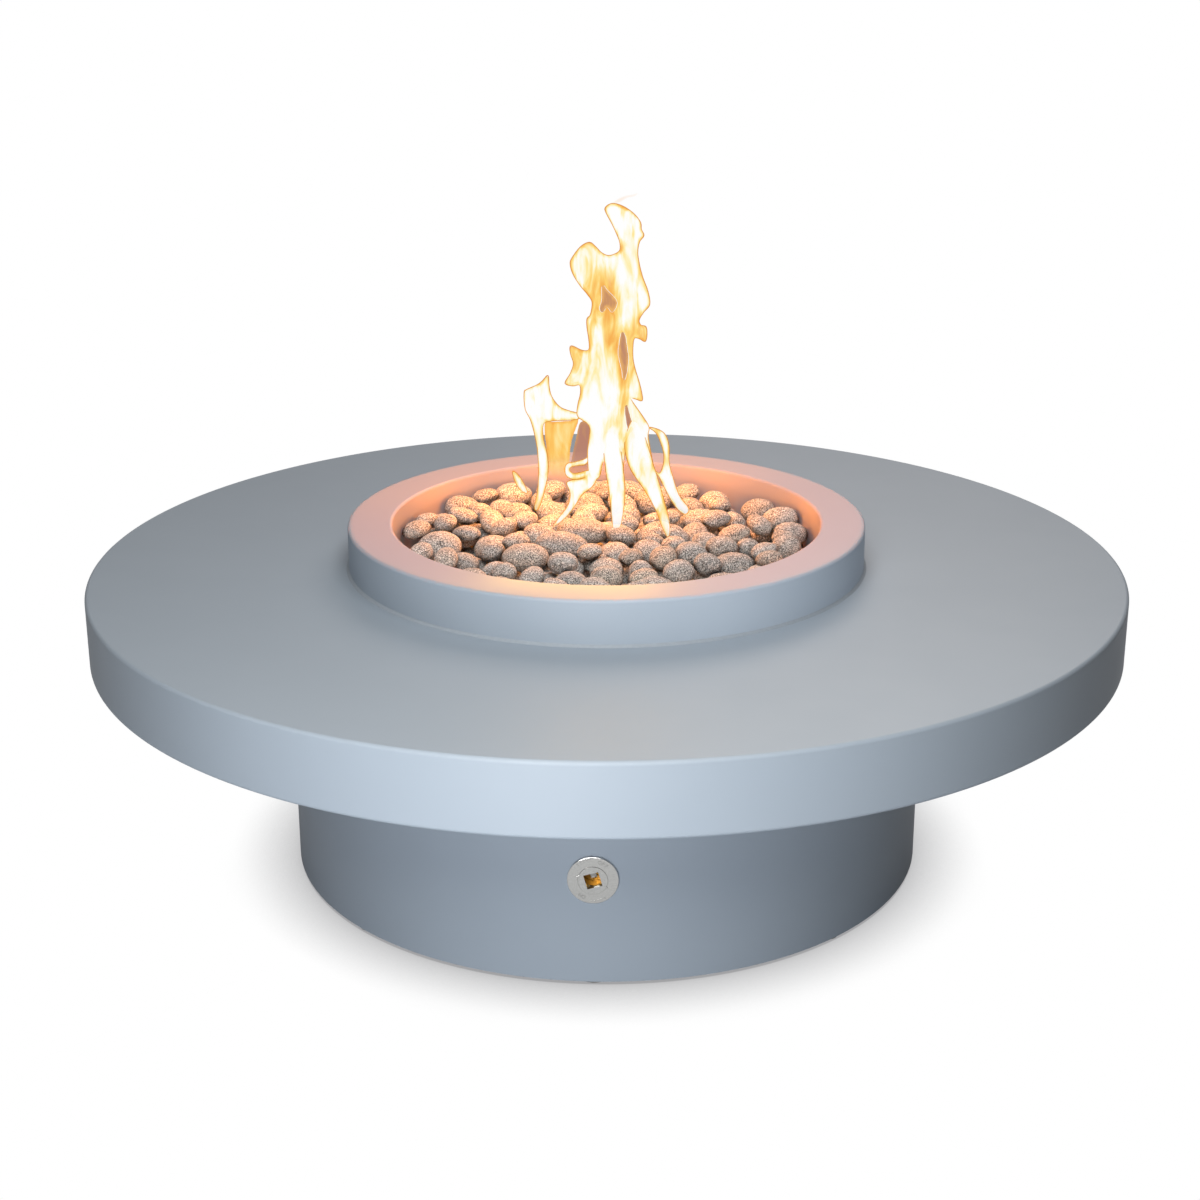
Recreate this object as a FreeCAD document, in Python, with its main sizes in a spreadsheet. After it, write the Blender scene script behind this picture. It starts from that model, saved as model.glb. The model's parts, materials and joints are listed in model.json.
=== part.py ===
import FreeCAD, Part

import math
import os
import random
from types import SimpleNamespace

import Sketcher

# A round gas fire pit table: a flat round tabletop with a deep edge, carried by a drum, with a raised
# round collar in its middle that holds the burner under a heap of tumbled lava stones.
# The origin is on the floor under the centre, +Z is up, and the valve plate faces -Y.
# Everything is in millimetres. Radii are named radius, and heights are measured from the floor.
SIZES = (
    # tabletop, rolled and welded from sheet
    ("top_radius", 609.6, "outer radius of the tabletop, 48 inches across"),
    ("top_height", 360.5, "height of the tabletop's flat surface"),
    ("top_thickness", 80.0, "depth of the tabletop's edge"),
    ("top_lip", 24.0, "width of the lip turned in under the edge"),
    ("top_edge_round", 4.0, "outer radius of the tabletop's rolled edges"),
    ("sheet", 2.0, "thickness of the sheet metal"),
    ("soffit_step", 33.0, "how much wider the under-panel's hole is than the tabletop's"),
    ("panel_gap", 1.0, "gap between the under-panel and the edge's wall"),
    # ribs inside the tabletop
    ("rib_count", 8, "ribs between the under-panel and the tabletop"),
    ("rib_thickness", 3.0, "thickness of a rib"),
    ("rib_end_gap", 6.0, "gap at each end of a rib"),
    # collar round the fire
    ("bowl_radius", 254.0, "inner radius of the collar, 20 inches across"),
    ("rim_width", 52.5, "width of the collar's flat top"),
    ("collar_height", 52.5, "height of the collar above the tabletop"),
    ("collar_skirt", 92.0, "depth of the inner wall below the tabletop's surface"),
    ("collar_edge_round", 3.5, "outer radius of the collar's rolled edges"),
    ("collar_hole_gap", 1.0, "gap between the inner wall and the tabletop's hole"),
    ("seal_width", 3.0, "width and height of the sealant bead at the collar's foot"),
    # drum that carries the tabletop
    ("drum_radius", 381.0, "outer radius of the drum, 30 inches across"),
    ("drum_top_flange", 40.0, "width of the drum's inward top flange, with the wall"),
    ("drum_foot_flange", 30.0, "width of the drum's inward bottom flange, with the wall"),
    ("pad_count", 8, "rubber pads under the drum"),
    ("pad_radius", 12.5, "radius of a pad"),
    ("pad_height", 3.0, "height of a pad"),
    # bolts between the drum and the tabletop
    ("bolt_count", 8, "bolts through the drum's top flange"),
    ("bolt_radius", 4.0, "shank radius of an M8 bolt"),
    ("bolt_hole_gap", 0.5, "gap round a bolt in its hole"),
    ("bolt_flats", 13.0, "width across flats of the bolt head and nut"),
    ("bolt_head", 5.3, "height of the bolt head"),
    ("nut_height", 6.5, "height of the nut"),
    ("bolt_end", 2.0, "length of the bolt past its nut"),
    ("washer_radius", 8.0, "outer radius of the bolt's washer"),
    ("washer_height", 1.6, "thickness of the bolt's washer"),
    ("thread_gap", 0.1, "radial gap where one piece screws on another"),
    # burner pan and its brackets
    ("pan_gap", 4.0, "gap between the burner pan and the collar's inner wall"),
    ("pan_depth", 70.0, "depth of the pan's underside below the tabletop's surface"),
    ("pan_wall", 34.0, "height of the pan with its wall"),
    ("bracket_count", 4, "brackets under the pan"),
    ("bracket_width", 40.0, "width of a bracket"),
    ("bracket_thickness", 3.0, "thickness of a bracket"),
    ("bracket_reach", 30.0, "how far a bracket reaches under the pan"),
    ("bracket_drop", 20.0, "height of a bracket"),
    # burner: two rings joined by four spokes to a hub
    ("outer_ring_radius", 152.4, "radius of the outer burner ring's centre line"),
    ("inner_ring_radius", 76.2, "radius of the inner burner ring's centre line"),
    ("ring_tube_radius", 8.0, "outer radius of the ring's tube"),
    ("spoke_tube_radius", 6.5, "outer radius of a spoke's tube"),
    ("tube_wall", 1.5, "wall of the burner's tubes"),
    ("burner_rise", 13.0, "height of the burner tubes' centre line above the pan's floor"),
    ("spoke_count", 4, "spokes of the burner"),
    ("port_radius", 1.5, "radius of a gas port"),
    ("outer_port_count", 24, "gas ports on the outer ring"),
    ("inner_port_count", 12, "gas ports on the inner ring"),
    ("hub_radius", 18.0, "outer radius of the burner's hub"),
    ("hub_cover", 4.5, "height of the hub above the spokes"),
    ("hub_wall", 4.0, "wall of the hub"),
    # gas way from the valve to the burner
    ("nipple_radius", 10.5, "outer radius of the threaded nipple through the pan"),
    ("gas_bore_radius", 6.5, "radius of the gas way"),
    ("nipple_drop", 38.0, "length of the nipple below the pan"),
    ("pan_washer_radius", 18.0, "outer radius of the washer under the pan"),
    ("pan_washer_height", 1.6, "thickness of the washer under the pan"),
    ("pan_nut_flats", 32.0, "width across flats of the nut under the pan"),
    ("pan_nut_height", 9.0, "height of the nut under the pan"),
    ("elbow_drop", 55.0, "depth of the elbow's side outlet below the pan"),
    ("elbow_radius", 14.0, "outer radius of the elbow"),
    ("elbow_socket", 22.0, "length of the elbow's socket on the nipple"),
    ("elbow_reach", 22.0, "length of the elbow's side branch"),
    ("flare_radius", 9.5, "outer radius of a flare end"),
    ("flare_length", 14.0, "length of a flare end"),
    ("hose_radius", 8.0, "outer radius of the gas hose"),
    ("hose_bend", 60.0, "bend radius of the gas hose's centre line"),
    ("hose_nut_flats", 25.0, "width across flats of a hose nut"),
    ("hose_nut_length", 26.0, "length of a hose nut"),
    ("hose_start", 2.0, "gap between a flare's end and the hose inside its nut"),
    # key valve behind the drum's front, with sizes along its axis measured from the drum's face
    ("valve_height", 125.7, "height of the valve's axis"),
    ("plate_radius", 27.6, "outer radius of the valve's cover plate"),
    ("plate_seat", 0.3, "gap between the drum's face and the back of the plate"),
    ("plate_thickness", 2.6, "thickness of the plate"),
    ("plate_edge_round", 1.1, "radius of the plate's front edge"),
    ("plate_ring_width", 4.1, "width of the raised ring on the plate, at the key hole's corners"),
    ("plate_ring_height", 0.6, "height of the raised ring"),
    ("key_hole", 16.5, "width of the square hole for the key"),
    ("key_hole_turn", 16.0, "turn of the square hole, in degrees"),
    ("plate_skirt", 10.0, "length of the plate's threaded skirt"),
    ("skirt_wall", 1.4, "wall of the plate's threaded skirt"),
    ("sleeve_radius", 15.4, "outer radius of the threaded sleeve"),
    ("sleeve_wall", 1.9, "wall of the sleeve"),
    ("sleeve_length", 36.0, "length of the sleeve"),
    ("drum_hole_gap", 0.5, "gap round the sleeve in the drum"),
    ("valve_nut_wall", 2.6, "wall of the nut behind the drum, from the sleeve to its flats"),
    ("valve_nut_height", 6.0, "height of the nut behind the drum"),
    ("valve_washer_radius", 21.5, "outer radius of the washer behind the drum"),
    ("valve_washer_height", 1.5, "thickness of the washer behind the drum"),
    ("bonnet_neck_top", 24.0, "depth of the bonnet's outer end"),
    ("bonnet_shoulder", 38.0, "depth of the bonnet's shoulder"),
    ("bonnet_shoulder_height", 6.0, "height of the bonnet's hexagonal shoulder"),
    ("bonnet_flats", 30.0, "width across flats of the bonnet's shoulder"),
    ("bonnet_screw_radius", 12.0, "radius of the bonnet's screw into the valve"),
    ("bonnet_screw_length", 6.0, "length of the bonnet's screw into the valve"),
    ("stem_radius", 4.5, "radius of the valve's stem"),
    ("stem_gap", 0.1, "radial running gap round the stem"),
    ("stem_square", 6.3, "width of the square end that the key turns"),
    ("stem_square_length", 13.0, "length of the square end"),
    ("stem_collar_radius", 6.5, "radius of the stem's collar"),
    ("stem_collar_height", 1.6, "height of the stem's collar"),
    ("body_gap", 0.3, "gap between a moving piece and what it passes"),
    ("tongue_thickness", 4.0, "thickness of the tongue that turns the ball"),
    ("tongue_width", 9.0, "width of the tongue"),
    ("tongue_length", 3.2, "length of the tongue in the ball's slot"),
    ("tongue_gap", 0.1, "gap between the tongue and the ball's slot"),
    ("ring_groove", 1.1, "depth of a groove for a rubber ring in the stem"),
    ("rubber_ring_count", 2, "rubber rings on the stem"),
    ("rubber_ring_pitch", 5.0, "distance between the rubber rings"),
    ("ball_radius", 11.0, "radius of the valve's ball"),
    ("ball_gap", 0.1, "gap between the stem's collar and the ball"),
    ("seat_gap", 0.3, "gap between the ball and its seats"),
    ("seat_depth", 3.4, "how far a seat reaches over the ball's top"),
    ("seat_back", 1.2, "thickness of a seat past the ball"),
    ("chamber_gap", 1.2, "gap round the ball in its chamber"),
    ("valve_wall", 3.8, "wall of the valve's body"),
    ("cap_screw_length", 3.8, "length of the inlet cap's screw"),
    ("flare_shoulder", 6.0, "height of the shoulder under a flare"),
    # lava in the bowl
    ("bed_gap", 1.0, "gap between the crushed lava and the pan or burner"),
    ("bed_depth", 34.0, "depth of the crushed lava on the pan's floor"),
    ("stone_gap", 0.4, "gap between neighbouring stones"),
    ("stone_drop", 11.5, "how far the highest stone stays below the collar's top"),
    ("stone_base", 50.0, "height of the hidden stones above the crushed lava"),
    ("filler_drop", 12.0, "how far the smaller stones stay below the collar's top"),
    ("stone_length", 45.0, "usual length of a stone"),
)

# The stones that show most, as seen from the front: place across and along, length, width, height, turn
# about the vertical, and lean, in degrees.
SHOWN_STONES = (
    (-199, -11, 56, 50, 40, 20, 0),
    (-133, -9, 50, 46, 36, 10, 0),
    (-44, -32, 66, 52, 34, -5, 4),
    (-79, -81, 60, 50, 36, -25, -6),
    (-30, 43, 66, 54, 34, -8, 3),
    (-33, -132, 40, 38, 30, 0, 0),
    (-123, -96, 36, 33, 28, 15, 5),
    (2, -81, 42, 37, 31, 12, 4),
    (7, -134, 40, 36, 32, 5, 0),
    (37, -89, 41, 30, 28, 95, 40),
    (67, -106, 38, 35, 33, 0, 0),
    (110, -109, 56, 44, 34, 14, 6),
    (96, -49, 41, 36, 32, 18, 6),
    (143, -47, 53, 42, 34, -10, -5),
    (175, -11, 42, 33, 30, 70, 30),
    (204, -14, 38, 36, 34, -20, 0),
    (232, 50, 50, 35, 32, 38, 12),
    (211, 93, 48, 40, 34, -18, -8),
    (159, 56, 40, 37, 34, -40, 10),
    (117, 119, 50, 42, 34, -12, 4),
    (206, 140, 46, 37, 34, -15, -6),
    (162, 178, 44, 36, 36, -35, -15),
    (100, 210, 42, 34, 30, 60, 30),
    (-176, 131, 50, 37, 33, 32, 10),
    (-184, 150, 37, 34, 32, 0, 0),
    (-115, 118, 48, 42, 30, -12, -5),
    (-122, 196, 50, 44, 34, 10, 0),
    (-54, 165, 52, 46, 36, 15, 0),
    (-2, 174, 50, 44, 36, -10, 0),
    (28, 101, 38, 33, 32, 80, 40),
)

EVERY_TURN = 360.0
HEXAGON_CORNER = 1 / math.sqrt(3)
NEAR = 0.01
NEARER = 0.99


class Size:
    """A length held both as a number and as the sheet's expression for it."""

    def __init__(self, number, text=None):
        self.number = float(number)
        self.text = text or f"{float(number):.9g}"

    @staticmethod
    def of(value):
        return value if isinstance(value, Size) else Size(value)

    def __add__(self, other):
        other = Size.of(other)
        return Size(self.number + other.number, f"({self.text} + {other.text})")

    def __sub__(self, other):
        other = Size.of(other)
        return Size(self.number - other.number, f"({self.text} - {other.text})")

    def __mul__(self, other):
        other = Size.of(other)
        return Size(self.number * other.number, f"({self.text} * {other.text})")

    def __truediv__(self, other):
        other = Size.of(other)
        return Size(self.number / other.number, f"({self.text} / {other.text})")

    def __neg__(self):
        return Size(-self.number, f"(0 - {self.text})")

    def __rtruediv__(self, other):
        return Size.of(other) / self

    def root(self):
        return Size(math.sqrt(self.number), f"sqrt({self.text})")

    __radd__ = __add__
    __rmul__ = __mul__


def fill_sheet(document):
    """Write the driving dimensions to the sheet and give them back as sizes."""
    sheet = document.addObject("Spreadsheet::Sheet", "Sizes")
    for row, (alias, value, note) in enumerate(SIZES, start=1):
        sheet.set(f"A{row}", alias)
        sheet.set(f"B{row}", str(value))
        sheet.setAlias(f"B{row}", alias)
        sheet.set(f"C{row}", note)
    document.recompute()
    return SimpleNamespace(**{alias: Size(sheet.get(alias), f"Sizes.{alias}") for alias, _, _ in SIZES})


doc = FreeCAD.newDocument("FirePitTable")
mm = fill_sheet(doc)
nodes = []

# Heights that follow from the driving dimensions.
top_under = mm.top_height - mm.sheet
lip_top = mm.top_height - mm.top_thickness + mm.sheet
soffit_top = lip_top + mm.sheet
collar_top = mm.top_height + mm.collar_height
collar_radius = mm.bowl_radius + mm.rim_width
hole_radius = mm.bowl_radius + mm.sheet + mm.collar_hole_gap
soffit_inner_radius = hole_radius + mm.soffit_step
pan_radius = mm.bowl_radius - mm.pan_gap
bolt_circle = mm.drum_radius - mm.drum_top_flange / 2
half_pitch = EVERY_TURN / 2 / mm.bolt_count
pan_under = mm.top_height - mm.pan_depth
pan_top = pan_under + mm.sheet
burner_height = pan_top + mm.burner_rise
hub_top = burner_height + mm.spoke_tube_radius + mm.hub_cover
bed_top = pan_top + mm.bed_depth
nipple_foot = pan_under - mm.nipple_drop
elbow_height = pan_under - mm.elbow_drop

# Depths behind the drum's face, and distances from the ball's centre along the flow.
bonnet_back = mm.bonnet_shoulder + mm.bonnet_shoulder_height + mm.bonnet_screw_length
stem_collar_front = bonnet_back + mm.body_gap
stem_collar_back = stem_collar_front + mm.stem_collar_height
ball_depth = stem_collar_back + mm.ball_gap + mm.ball_radius
slot_depth = stem_collar_back + mm.tongue_length + mm.tongue_gap
ball_along = ball_depth - mm.drum_radius
chamber_radius = mm.ball_radius + mm.chamber_gap
seat_near = mm.ball_radius - mm.seat_depth
seat_far = mm.ball_radius + mm.seat_back
valve_radius = chamber_radius + mm.valve_wall
valve_foot = seat_far + mm.cap_screw_length
valve_shoulder = valve_foot + mm.flare_shoulder


def new_body(label):
    body = doc.addObject("PartDesign::Body", label)
    body.Label = label
    nodes.append(body)
    return body


def new_feature(label, shape):
    feature = doc.addObject("Part::Feature", label)
    feature.Label = label
    feature.Shape = shape
    nodes.append(feature)
    return feature


def origin_part(body, role):
    return next(part for part in body.Origin.OriginFeatures if part.Role == role)


def bind(thing, name, size):
    """Give a property its size, tied to the sheet."""
    thing.setExpression(name, Size.of(size).text)


def new_sketch(body, name, plane="XY_Plane", offset=0.0):
    sketch = body.newObject("Sketcher::SketchObject", f"{body.Label}_{name}")
    sketch.AttachmentSupport = [(origin_part(body, plane), "")]
    sketch.MapMode = "FlatFace"
    bind(sketch, "AttachmentOffset.Base.z", offset)
    return sketch


def hold_point(sketch, geometry, point, across, up):
    """Fix a point of the sketch by its distances from the origin."""
    for kind, distance in (("DistanceX", Size.of(across)), ("DistanceY", Size.of(up))):
        rule = Sketcher.Constraint(kind, -1, 1, geometry, point, distance.number)
        index = sketch.addConstraint(rule)
        bind(sketch, f"Constraints[{index}]", distance)


def draw_outline(sketch, corners):
    """Join the corners in turn with straight lines, back to the first."""
    spots = [FreeCAD.Vector(Size.of(across).number, Size.of(up).number, 0) for across, up in corners]
    first = sketch.GeometryCount
    count = len(corners)
    for index in range(count):
        sketch.addGeometry(Part.LineSegment(spots[index], spots[(index + 1) % count]), False)
    for index in range(count):
        sketch.addConstraint(
            Sketcher.Constraint("Coincident", first + index, 2, first + (index + 1) % count, 1)
        )
    for index, (across, up) in enumerate(corners):
        hold_point(sketch, first + index, 1, across, up)


def draw_circle(sketch, across, up, radius):
    centre = FreeCAD.Vector(Size.of(across).number, Size.of(up).number, 0)
    circle = Part.Circle(centre, FreeCAD.Vector(0, 0, 1), Size.of(radius).number)
    geometry = sketch.addGeometry(circle, False)
    hold_point(sketch, geometry, 3, across, up)
    index = sketch.addConstraint(Sketcher.Constraint("Radius", geometry, Size.of(radius).number))
    bind(sketch, f"Constraints[{index}]", radius)


def polygon(reach, sides, turn):
    """Corners of a regular polygon whose corners lie at reach from the origin."""
    corners = []
    for index in range(sides):
        angle = math.radians(turn + EVERY_TURN * index / sides)
        corners.append((reach * math.cos(angle), reach * math.sin(angle)))
    return corners


def hexagon(flats):
    return polygon(flats * HEXAGON_CORNER, 6, 0)


def turn_profile(body, sketch):
    """Turn a sketch of the upright plane round the body's own Z axis."""
    turned = body.newObject("PartDesign::Revolution", f"{sketch.Name}_turned")
    turned.Profile = sketch
    turned.ReferenceAxis = (sketch, ["V_Axis"])
    turned.Angle = EVERY_TURN
    doc.recompute()
    return turned


def turned_body(label, corners):
    """A round piece from corners given as radius and height."""
    body = new_body(label)
    sketch = new_sketch(body, "profile", "XZ_Plane")
    draw_outline(sketch, corners)
    turn_profile(body, sketch)
    return body


def ring_corners(inner, outer, low, high):
    return [(inner, low), (outer, low), (outer, high), (inner, high)]


def add_pad(body, sketch, length):
    pad = body.newObject("PartDesign::Pad", f"{sketch.Name}_pad")
    pad.Profile = sketch
    bind(pad, "Length", length)
    doc.recompute()
    return pad


def cut_down(body, sketch, depth):
    """Cut a sketch of the flat plane downwards, and make sure that it took something away."""
    before = body.Shape.Volume
    pocket = body.newObject("PartDesign::Pocket", f"{sketch.Name}_cut")
    pocket.Profile = sketch
    bind(pocket, "Length", depth)
    doc.recompute()
    if body.Shape.Volume >= before - NEAR:
        raise RuntimeError(f"{sketch.Name} cuts nothing")
    return pocket


def repeat_round(body, features, count):
    """Repeat features evenly round the body's Z axis."""
    pattern = body.newObject("PartDesign::PolarPattern", f"{body.Label}_round")
    pattern.Originals = features
    pattern.Axis = (origin_part(body, "Z_Axis"), [""])
    pattern.Angle = EVERY_TURN
    bind(pattern, "Occurrences", count)
    body.Tip = pattern
    doc.recompute()
    return pattern


def round_rings(body, radius, rings):
    """Round the circular edges that have these radii and heights."""
    names = []
    for index, edge in enumerate(body.Shape.Edges, start=1):
        curve = edge.Curve
        if not isinstance(curve, Part.Circle):
            continue
        for ring_radius, height in rings:
            same_radius = abs(curve.Radius - Size.of(ring_radius).number) < NEAR
            same_height = abs(curve.Center.z - Size.of(height).number) < NEAR
            if same_radius and same_height:
                names.append(f"Edge{index}")
    if not names:
        raise RuntimeError(f"{body.Label} has no edge to round")
    base = body.Tip
    fillet = body.newObject("PartDesign::Fillet", f"{body.Label}_round_{len(body.Group)}")
    fillet.Base = (base, sorted(set(names)))
    bind(fillet, "Radius", radius)
    doc.recompute()
    return fillet


def place(thing, across=0.0, along=0.0, up=0.0):
    for axis, size in (("x", across), ("y", along), ("z", up)):
        bind(thing, f"Placement.Base.{axis}", size)


def turn_about_z(thing, degrees):
    """Turn a piece about the table's own axis."""
    thing.Placement = FreeCAD.Placement(
        FreeCAD.Vector(), FreeCAD.Rotation(FreeCAD.Vector(0, 0, 1), Size.of(degrees).number)
    )


def face_front(thing):
    """Stand a piece made along Z on the valve's axis: its +Z points out of the drum, its +Y up."""
    thing.Placement = FreeCAD.Placement(
        FreeCAD.Vector(), FreeCAD.Rotation(FreeCAD.Vector(1, 0, 0), 90)
    )
    place(thing, 0, -mm.drum_radius, mm.valve_height)


def make_tabletop():
    outer, inner = mm.top_radius, mm.top_radius - mm.sheet
    lip_inner = mm.top_radius - mm.top_lip
    low = mm.top_height - mm.top_thickness
    body = turned_body("tabletop", [
        (hole_radius, top_under),
        (inner, top_under),
        (inner, lip_top),
        (lip_inner, lip_top),
        (lip_inner, low),
        (outer, low),
        (outer, mm.top_height),
        (hole_radius, mm.top_height),
    ])
    round_rings(body, mm.top_edge_round, [(outer, mm.top_height), (outer, low)])
    round_rings(body, mm.top_edge_round - mm.sheet, [(inner, top_under), (inner, lip_top)])


def cut_bolt_holes(body, height):
    """Cut the bolt holes down from a height through one sheet."""
    sketch = new_sketch(body, "bolt_hole", "XY_Plane", height)
    angle = math.radians(half_pitch.number)
    across, up = bolt_circle * math.cos(angle), bolt_circle * math.sin(angle)
    draw_circle(sketch, across, up, mm.bolt_radius + mm.bolt_hole_gap)
    hole = cut_down(body, sketch, mm.sheet)
    repeat_round(body, [hole], mm.bolt_count)


def make_soffit():
    outer = mm.top_radius - mm.sheet - mm.panel_gap - (mm.top_edge_round - mm.sheet)
    body = turned_body("soffit_panel", ring_corners(soffit_inner_radius, outer, lip_top, soffit_top))
    cut_bolt_holes(body, soffit_top)


def make_ribs():
    inner = hole_radius + mm.rib_end_gap
    outer = mm.top_radius - mm.sheet - mm.rib_end_gap
    inner_foot = soffit_inner_radius + mm.rib_end_gap
    for index in range(int(mm.rib_count.number)):
        body = new_body(f"top_rib_{index + 1}")
        sketch = new_sketch(body, "side", "XZ_Plane")
        draw_outline(sketch, [
            (inner_foot, soffit_top),
            (outer, soffit_top),
            (outer, top_under),
            (inner, top_under),
            (inner, top_under - mm.rib_end_gap),
        ])
        pad = add_pad(body, sketch, mm.rib_thickness)
        pad.SideType = "Symmetric"
        turn_about_z(body, EVERY_TURN * index / mm.rib_count)


def make_collar():
    wall_low = mm.top_height - mm.collar_skirt
    body = turned_body("fire_collar", [
        (collar_radius, mm.top_height),
        (collar_radius, collar_top),
        (mm.bowl_radius, collar_top),
        (mm.bowl_radius, wall_low),
        (mm.bowl_radius + mm.sheet, wall_low),
        (mm.bowl_radius + mm.sheet, collar_top - mm.sheet),
        (collar_radius - mm.sheet, collar_top - mm.sheet),
        (collar_radius - mm.sheet, mm.top_height),
    ])
    round_rings(body, mm.collar_edge_round, [(collar_radius, collar_top), (mm.bowl_radius, collar_top)])
    inside = collar_top - mm.sheet
    round_rings(body, mm.collar_edge_round - mm.sheet, [
        (collar_radius - mm.sheet, inside),
        (mm.bowl_radius + mm.sheet, inside),
    ])
    turned_body("collar_seal", [
        (collar_radius, mm.top_height),
        (collar_radius + mm.seal_width, mm.top_height),
        (collar_radius, mm.top_height + mm.seal_width),
    ])


def make_drum():
    """The rolled wall, with a flat ring welded inside it at each end."""
    high, low = lip_top, mm.pad_height
    inside = mm.drum_radius - mm.sheet
    wall = turned_body("drum_wall", ring_corners(inside, mm.drum_radius, low, high))
    # the hole for the valve's sleeve goes from the drum's face inwards
    hole = new_sketch(wall, "valve_hole", "XZ_Plane", mm.drum_radius)
    draw_circle(hole, 0, mm.valve_height, mm.sleeve_radius + mm.drum_hole_gap)
    cut_down(wall, hole, mm.sleeve_radius)

    top_inner = mm.drum_radius - mm.drum_top_flange
    top_ring = turned_body("drum_top_ring", ring_corners(top_inner, inside, high - mm.sheet, high))
    cut_bolt_holes(top_ring, high)
    foot_inner = mm.drum_radius - mm.drum_foot_flange
    turned_body("drum_foot_ring", ring_corners(foot_inner, inside, low, low + mm.sheet))


def make_pads():
    body = new_body("foot_pads")
    body.AllowCompound = True
    sketch = new_sketch(body, "pad")
    middle = mm.drum_radius - mm.drum_foot_flange / 2
    draw_circle(sketch, middle, 0, mm.pad_radius)
    repeat_round(body, [add_pad(body, sketch, mm.pad_height)], mm.pad_count)


def bolt_group(label):
    """A body of equal pieces, one at each bolt, drawn about its own Z axis at the first bolt."""
    body = new_body(label)
    body.AllowCompound = True
    turn_about_z(body, half_pitch)
    return body


def shifted(corners, across):
    return [(across + corner[0], corner[1]) for corner in corners]


def make_bolts():
    under_head = lip_top - mm.sheet - mm.washer_height
    nut_top = soffit_top + mm.nut_height

    bolts = bolt_group("mounting_bolts")
    head = new_sketch(bolts, "head", offset=under_head - mm.bolt_head)
    draw_outline(head, shifted(hexagon(mm.bolt_flats), bolt_circle))
    shank = new_sketch(bolts, "shank", offset=under_head)
    draw_circle(shank, bolt_circle, 0, mm.bolt_radius)
    parts = [
        add_pad(bolts, head, mm.bolt_head),
        add_pad(bolts, shank, nut_top + mm.bolt_end - under_head),
    ]
    repeat_round(bolts, parts, mm.bolt_count)

    washers = bolt_group("mounting_washers")
    disc = new_sketch(washers, "disc", offset=under_head)
    draw_circle(disc, bolt_circle, 0, mm.washer_radius)
    draw_circle(disc, bolt_circle, 0, mm.bolt_radius + mm.thread_gap)
    repeat_round(washers, [add_pad(washers, disc, mm.washer_height)], mm.bolt_count)

    nuts = bolt_group("mounting_nuts")
    block = new_sketch(nuts, "block", offset=soffit_top)
    draw_outline(block, shifted(hexagon(mm.bolt_flats), bolt_circle))
    draw_circle(block, bolt_circle, 0, mm.bolt_radius + mm.thread_gap)
    repeat_round(nuts, [add_pad(nuts, block, mm.nut_height)], mm.bolt_count)


def make_brackets():
    """Angle brackets on the inner wall, with the flat leg under the pan and the other leg on the wall."""
    high = pan_under
    low = pan_under - mm.bracket_drop
    for index in range(int(mm.bracket_count.number)):
        body = new_body(f"pan_bracket_{index + 1}")
        sketch = new_sketch(body, "side", "XZ_Plane")
        draw_outline(sketch, [
            (mm.bowl_radius - mm.bracket_reach, high),
            (mm.bowl_radius - mm.bracket_reach, high - mm.bracket_thickness),
            (mm.bowl_radius - mm.bracket_thickness, high - mm.bracket_thickness),
            (mm.bowl_radius - mm.bracket_thickness, low),
            (mm.bowl_radius, low),
            (mm.bowl_radius, high),
        ])
        turned = turn_profile(body, sketch)
        half_width = mm.bracket_width / 2 / mm.bowl_radius
        turned.Midplane = True
        bind(turned, "Angle", half_width * 2 * math.degrees(1))
        turn_about_z(body, EVERY_TURN * (index + 0.5) / mm.bracket_count)


def make_pan():
    wall_top = pan_under + mm.pan_wall
    turned_body("burner_pan", [
        (mm.nipple_radius + mm.thread_gap, pan_under),
        (pan_radius, pan_under),
        (pan_radius, wall_top),
        (pan_radius - mm.sheet, wall_top),
        (pan_radius - mm.sheet, pan_top),
        (mm.nipple_radius + mm.thread_gap, pan_top),
    ])


def make_burner_ring(label, ring_radius, port_count):
    """A round tube with gas ports along its top."""
    body = new_body(label)
    section = new_sketch(body, "tube", "XZ_Plane")
    draw_circle(section, ring_radius, burner_height, mm.ring_tube_radius)
    draw_circle(section, ring_radius, burner_height, mm.ring_tube_radius - mm.tube_wall)
    turn_profile(body, section)
    port = new_sketch(body, "port", offset=burner_height + mm.ring_tube_radius)
    angle = math.radians(EVERY_TURN / 2 / port_count.number)
    draw_circle(port, ring_radius * math.cos(angle), ring_radius * math.sin(angle), mm.port_radius)
    repeat_round(body, [cut_down(body, port, mm.ring_tube_radius)], port_count)


def ring_solid(ring_radius, tube_radius):
    centre = FreeCAD.Vector(0, 0, burner_height.number)
    return Part.makeTorus(ring_radius, tube_radius, centre, FreeCAD.Vector(0, 0, 1))


def spoke_rod(radius, index, start, end):
    """A rod along one spoke's direction, from one distance from the axis to another."""
    angle = math.radians(EVERY_TURN * (index + 0.5) / mm.spoke_count.number)
    outwards = FreeCAD.Vector(math.cos(angle), math.sin(angle), 0)
    foot = outwards * start + FreeCAD.Vector(0, 0, burner_height.number)
    return Part.makeCylinder(radius, end - start, foot, outwards)


def make_spokes():
    """Tubes from the hub to the rings, with their ends cut to the curves that they meet."""
    outer, inner = mm.outer_ring_radius.number, mm.inner_ring_radius.number
    tube, bore = mm.spoke_tube_radius.number, mm.spoke_tube_radius.number - mm.tube_wall.number
    met = [
        ring_solid(outer, mm.ring_tube_radius.number),
        ring_solid(inner, mm.ring_tube_radius.number),
        Part.makeCylinder(mm.hub_radius.number, bed_top.number),
    ]
    solids = []
    for index in range(int(mm.spoke_count.number)):
        rod = spoke_rod(tube, index, 0, outer).cut(spoke_rod(bore, index, 0, outer))
        solids += rod.cut(met).Solids
    new_feature("burner_spokes", Part.makeCompound(solids))


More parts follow.
